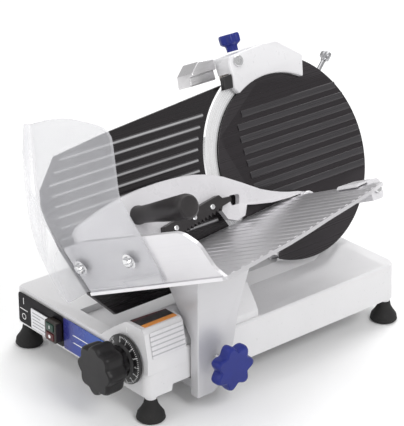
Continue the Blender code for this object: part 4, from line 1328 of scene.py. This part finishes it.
for i in range(0, 14):
    deg = 100.0 - i * 25.0
    t = math.radians(deg)
    r = 23.5
    fr = (DIALF @ Matrix.Rotation(t - math.pi / 2, 4, "Z")
          @ Matrix.Translation(Vector((0, r, 4.2 + (29.4 - r)
                                       * math.tan(SLOPE) + 0.05)) * MM)
          @ Matrix.Rotation(-SLOPE, 4, "X"))
    numeral("dial_number_%02d" % i, str(i), 4.6, fr, "thickness_dial")

# index mark on the raised corner above the dial
box("index_mark", DIAL.x - 0.8, DIAL.x + 0.8, -(BASE_HY + 1.5),
    -(BASE_HY + 0.9), 101.5, 108.5)
EXTRA["look_index_mark"] = "base"

# ---- plain on / off marks on the control panel
PF = FY - 1.2
ring = lathe("mark_off", [(3.2, 0), (4.1, 0), (4.1, 0.25), (3.2, 0.25)], None,
             along_y(-110, PF + 0.05, 43))
EXTRA[ring.name] = "base"
plate = xz_prism("mark_on", [(-110.5, 60), (-109.5, 60), (-109.5, 68.5),
                             (-110.5, 68.5)], PF - 0.25, PF + 0.05)
EXTRA[plate.name] = "base"
hook = xz_prism("mark_rule", rounded([(-118, 52), (-102, 52), (-102, 53),
                                      (-118, 53)], 0.3, 2),
                PF - 0.25, PF + 0.05)
EXTRA[hook.name] = "base"
# plain rules on the badge, where such machines carry a name
for k, (x0, x1, z0, z1) in enumerate(((-10, 26, 57.2, 58.4),
                                      (-10, 26, 47.4, 48.6))):
    rl = xz_prism("badge_rule_%d" % k, [(x0, z0), (x1, z0), (x1 + 3, z1),
                                        (x0 + 3, z1)], PF - 0.2, PF + 0.05)
    EXTRA[rl.name] = "base"
# plain lines on the light plate beside the switch
for k in range(5):
    z0 = 39.0 + 4.4 * k
    ln = xz_prism("plate_line_%d" % k,
                  [(-89.5, z0), (-89.5 + (27, 22, 27, 16, 24)[k], z0),
                   (-89.5 + (27, 22, 27, 16, 24)[k], z0 + 0.9),
                   (-89.5, z0 + 0.9)], FY - 3.2, FY - 2.95)
    EXTRA[ln.name] = "base"
# plain marks on the two buttons
for k, zc in enumerate((59.8, 47.2)):
    bm_ = xz_prism("button_mark_%d" % k,
                   [(-41.4, zc - 2.2), (-40.2, zc - 2.2), (-40.2, zc + 2.2),
                    (-41.4, zc + 2.2)] if k == 0 else
                   arc(-40.8, zc, 2.3, 0, 360 - 18, 19),
                   FY - 13.35, FY - 13.15)
    EXTRA[bm_.name] = ("start_button", "stop_button")[k]
    EXTRA_BODY = None

# ---- screws: gripper screws
def button_head(name, fr, r, h, body, slot_w=0.0):
    ob = lathe(name, [(0, 0), (r, 0), (r, h * 0.35), (r * 0.86, h * 0.8),
                      (r * 0.55, h), (0, h)], None, fr)
    if slot_w:
        cut(ob, box("s", -r, r, -slot_w / 2, slot_w / 2, h * 0.45, h * 2,
                    None, fr))
    EXTRA[ob.name] = body
    return ob


for k, a in enumerate((-217.0, -187.0, -157.0)):
    bb = -38.0 + (a + 236) * 0.16
    button_head("gripper_screw_%d" % k, blade_at(a, bb, 31.0), 3.6, 2.2,
                "pusher", 0.9)

# ------------------------------------------------------------ bodies, finishes
bodies_of = {n: b for b, ns in
             frame["record"]["behaviour"]["bodies"].items() for n in ns}

FIN = {}


def fin(kind, *args, **kw):
    return kind, args, kw


LOOKS = {
    "base_casting": lambda n: enamel(n, (0.73, 0.725, 0.735)),
    "motor_housing": lambda n: enamel(n, (0.72, 0.715, 0.73)),
    "gauge_bracket": lambda n: enamel(n, (0.72, 0.72, 0.73), 0.42),
    "gauge_guide_post": lambda n: enamel(n, (0.72, 0.72, 0.73), 0.42),
    "carriage_column": lambda n: metal_brushed(
        n, (0.62, 0.615, 0.63), 0.38, (500, 500, 5), 0.004, 0.3, 0.10,
        0.015),
    "tray": lambda n: metal_brushed(
        n, (0.78, 0.77, 0.79), 0.28, (3, 420, 420), 0.003, 0.8, 0.12,
        0.02),
    "pusher_arm": lambda n: enamel(n, (0.70, 0.69, 0.71), 0.28),
    "rod_bracket": lambda n: enamel(n, (0.74, 0.73, 0.75), 0.28),
    "sharpener_cover": lambda n: enamel(n, (0.76, 0.755, 0.77), 0.30),
    "sharpener_body": lambda n: metal_brushed(
        n, (0.70, 0.69, 0.70), 0.30, (4, 500, 500), 0.12, 1.0, 0.3),
    "slide_block": lambda n: metal_brushed(n, (0.66, 0.66, 0.67), 0.34),
    "blade": lambda n: metal_turned(n, (0.93, 0.93, 0.935), 0.24, 1100, 0.03,
                                    0.40),
    # the last value of these two paints a highlight on the rib tops: bright lines
    # on the gauge plate, faint ones on the blade cover
    "blade_cover": lambda n: anodised(n, (0.017, 0.0135, 0.016), 0.27,
                                      (1.1, 2.4, (0.050, 0.048, 0.052))),
    "gauge_plate": lambda n: anodised(n, (0.015, 0.0125, 0.014), 0.25,
                                      (-0.02, 0.22, (0.60, 0.60, 0.61))),
    "ring_guard": lambda n: metal_brushed(n, (0.62, 0.62, 0.63), 0.30),
    "motor": lambda n: anodised(n, (0.06, 0.06, 0.065), 0.5),
    "bottom_plate": lambda n: metal_brushed(n, (0.6, 0.6, 0.6), 0.35),
    "slice_deflector": lambda n: metal_brushed(
        n, (0.75, 0.75, 0.76), 0.25, (500, 500, 4)),
    "guard": clear_sheet,
    "badge_plate": badge_print,
    "control_panel": lambda n: plastic(n, (0.004, 0.003, 0.005), 0.50, 900,
                                       0.05, 0.0, 0.2),
    "rating_plate": lambda n: metal_brushed(n, (0.74, 0.74, 0.76), 0.36,
                                            (4, 600, 600), 0.1, 0.7, 0.15),
    "switch_housing": lambda n: plastic(n, (0.022, 0.016, 0.013), 0.34, 900),
    "start_button": lambda n: plastic(n, (0.006, 0.042, 0.026), 0.34, 900),
    "stop_button": lambda n: plastic(n, (0.085, 0.006, 0.007), 0.34, 900),
    "thickness_knob": lambda n: plastic(n, (0.0055, 0.0046, 0.0052), 0.40,
                                        1300, 0.08, 0.0, 0.35),
    "dial_plate": lambda n: plastic(n, (0.008, 0.0075, 0.008), 0.36, 1100, 0.05),
    "pusher_handle": lambda n: plastic(n, (0.022, 0.019, 0.020), 0.36, 1300,
                                       0.15),
    "gripper": lambda n: plastic(n, (0.020, 0.017, 0.018), 0.36, 1200),
    "cable_inlet": lambda n: plastic(n, (0.02, 0.02, 0.02), 0.45, 1200),
    "carriage_knob": lambda n: plastic(n, (0.010, 0.020, 0.20), 0.36,
                                       1200, 0.05, 0.0, 0.35),
    "sharpener_knob": lambda n: plastic(n, (0.012, 0.022, 0.20), 0.36,
                                        1200, 0.05, 0.0, 0.35),
    "sharpener_catch": lambda n: plastic(n, (0.012, 0.011, 0.012), 0.4, 900,
                                         0.05),
    "grinding_stone": lambda n: stone(n, (0.42, 0.39, 0.36)),
    "truing_stone": lambda n: stone(n, (0.78, 0.76, 0.70)),
    "drive_belt": rubber,
    "label_top": lambda n: striped_label(n, 0, (0.094, 0.1185, [
        (0.0, (0.016, 0.014, 0.015)), (0.10, (0.10, 0.012, 0.012)),
        (0.20, (0.016, 0.014, 0.015)), (0.76, (0.80, 0.30, 0.05))])),
    "label_side": lambda n: striped_label(n, 1, (0.0801, 0.1113, [
        (0.0, (0.74, 0.73, 0.75)), (0.10, (0.46, 0.46, 0.48)),
        (0.15, (0.74, 0.73, 0.75)), (0.28, (0.46, 0.46, 0.48)),
        (0.33, (0.74, 0.73, 0.75)), (0.46, (0.46, 0.46, 0.48)),
        (0.51, (0.74, 0.73, 0.75)), (0.64, (0.46, 0.46, 0.48)),
        (0.69, (0.74, 0.73, 0.75)), (0.82, (0.46, 0.46, 0.48)),
        (0.87, (0.74, 0.73, 0.75))])),
}
for nd in ("blade_shaft", "bearing", "guard_release_knob",
           "guard_release_stem", "guard_screw_left", "guard_screw_right",
           "sharpener_screw", "carriage_stud", "slide_rod", "pusher_rod",
           "pusher_sleeve", "motor_shaft", "thickness_spindle",
           "gauge_guide_rod", "thickness_cam"):
    LOOKS[nd] = lambda n: metal_turned(n, (0.80, 0.80, 0.81), 0.18, 1300)
for nd in ("guard_release_knob", "guard_release_stem"):
    LOOKS[nd] = lambda n: metal_turned(n, (0.42, 0.42, 0.43), 0.30, 1300)
for nd in ("blade_pulley", "motor_pulley"):
    LOOKS[nd] = lambda n: metal_turned(n, (0.70, 0.69, 0.70), 0.30, 1000)

SOFT = {"base_casting": (1.6, 3), "motor_housing": (2.0, 3), "tray": (0.5, 2),
        "carriage_column": (0.8, 2), "pusher_arm": (1.6, 4),
        "rod_bracket": (1.6, 3), "gauge_plate": (0.4, 2),
        "blade_cover": (0.35, 2), "guard": (0.5, 2), "gripper": (0.6, 2),
        "switch_housing": (0.5, 2), "control_panel": (0.3, 2),
        "badge_plate": (0.3, 2), "rating_plate": (0.3, 2),
        "slide_block": (0.6, 2), "gauge_bracket": (0.6, 2),
        "gauge_guide_post": (0.8, 2), "bottom_plate": (0.3, 2),
        "thickness_cam": (0.3, 2), "sharpener_catch": (0.5, 2)}
all_pieces = [o for o in bpy.data.objects
              if o.type == "MESH" and o.name.startswith("look_")]
for ob in all_pieces:
    node = ob.name[5:]
    ob.data.name = ob.name
    own = ob.matrix_world.copy()
    Tree.frame = Matrix.Translation(-ORIGIN * MM) @ own
    ob.data.transform(Tree.frame)
    ob.matrix_world = Matrix.Identity(4)
    if own.determinant() < 0:
        ob.data.flip_normals()
    if node in bodies_of:
        ob.data.materials.clear()
        make_look = LOOKS.get(node)
        mat = (make_look or rubber)(node + "_look")
        ob.data.materials.append(mat)
        if node in SOFT:
            w, s = SOFT[node]
            md = ob.modifiers.new("edge", "BEVEL")
            md.width = w * MM
            md.segments = s
            md.limit_method = "ANGLE"
            md.angle_limit = math.radians(38)
            md.use_clamp_overlap = True
            md.harden_normals = True
            md.miter_outer = "MITER_ARC"
        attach(ob, bodies_of[node])
        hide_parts(node)

Tree.frame = Matrix.Identity(4)
white_print = plastic("print_white", (0.80, 0.80, 0.80), 0.45, 900, 0.05)
grey_print = plastic("print_grey", (0.20, 0.20, 0.21), 0.45, 900, 0.05)
screw_metal = metal_turned("screw_metal", (0.85, 0.85, 0.86), 0.16, 1300)
for nm, body in EXTRA.items():
    ob = bpy.data.objects[nm]
    if not nm.startswith("look_"):
        ob.matrix_world = Matrix.Translation(-ORIGIN * MM) @ ob.matrix_world
    ob.data.transform(ob.matrix_world)
    ob.matrix_world = Matrix.Identity(4)
    ob.data.materials.clear()
    ob.data.materials.append(
        screw_metal if "screw" in nm else
        grey_print if "plate_line" in nm else white_print)
    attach(ob, body)

# ====================================================================== stage
fl = bpy.data.meshes.new("floor")
fb = bmesh.new()
bmesh.ops.create_grid(fb, x_segments=1, y_segments=1, size=6.0)
fb.to_mesh(fl)
fb.free()
floor = bpy.data.objects.new("floor", fl)
bpy.context.collection.objects.link(floor)
floor.location = (0, 0, -0.0004)
fm = Tree("floor_white")
fn = fm.noise(fm.coords(), 3.0, 2, 0.5)
fl.materials.append(fm.done(
    fm.ramp(fn, [(0.3, (0.955, 0.955, 0.955)), (0.7, (0.965, 0.965, 0.965))]),
    fm.grey(fn, 0.85, 0.95), None, 0.0, Specular_IOR_Level=0.1))

world = bpy.data.worlds.new("studio")
bpy.context.scene.world = world
world.use_nodes = True
bg = world.node_tree.nodes["Background"]
bg.inputs["Color"].default_value = (1.0, 1.0, 1.0, 1)
bg.inputs["Strength"].default_value = WORLD_LIGHT


def area(name, loc, aim, size, power, color=(1, 1, 1), size_y=None):
    li = bpy.data.lights.new(name, "AREA")
    li.energy = power
    li.size = size
    li.color = color
    if size_y:
        li.shape = "RECTANGLE"
        li.size_y = size_y
    ob = bpy.data.objects.new(name, li)
    bpy.context.collection.objects.link(ob)
    ob.location = loc
    ob.rotation_mode = "QUATERNION"
    ob.rotation_quaternion = (Vector(aim) - Vector(loc)).to_track_quat(
        "-Z", "Y")
    return ob


for spec in LIGHTS:
    area(*spec)

cam_data = bpy.data.cameras.new("camera")
cam = bpy.data.objects.new("camera", cam_data)
bpy.context.collection.objects.link(cam)
AZ, EL, ROLL = math.radians(49.64), math.radians(24.51), 0.0
back = Vector((math.sin(AZ) * math.cos(EL), -math.cos(AZ) * math.cos(EL),
               math.sin(EL)))
right = Vector((math.cos(AZ), math.sin(AZ), 0))
upv = back.cross(right)
pos = (Vector((1606.9, -1376.7, 1125.5)) - ORIGIN) * MM
cam.matrix_world = Matrix((
    (right.x, upv.x, back.x, pos.x), (right.y, upv.y, back.y, pos.y),
    (right.z, upv.z, back.z, pos.z), (0, 0, 0, 1)))
cam_data.sensor_width = 36.0
cam_data.lens = 1884.9 * 36.0 / 426.0
cam_data.clip_start = 0.05
cam_data.clip_end = 50
bpy.context.scene.camera = cam
bpy.context.scene.view_settings.view_transform = "Standard"
bpy.context.scene.view_settings.exposure = EXPOSURE

bpy.context.view_layer.update()
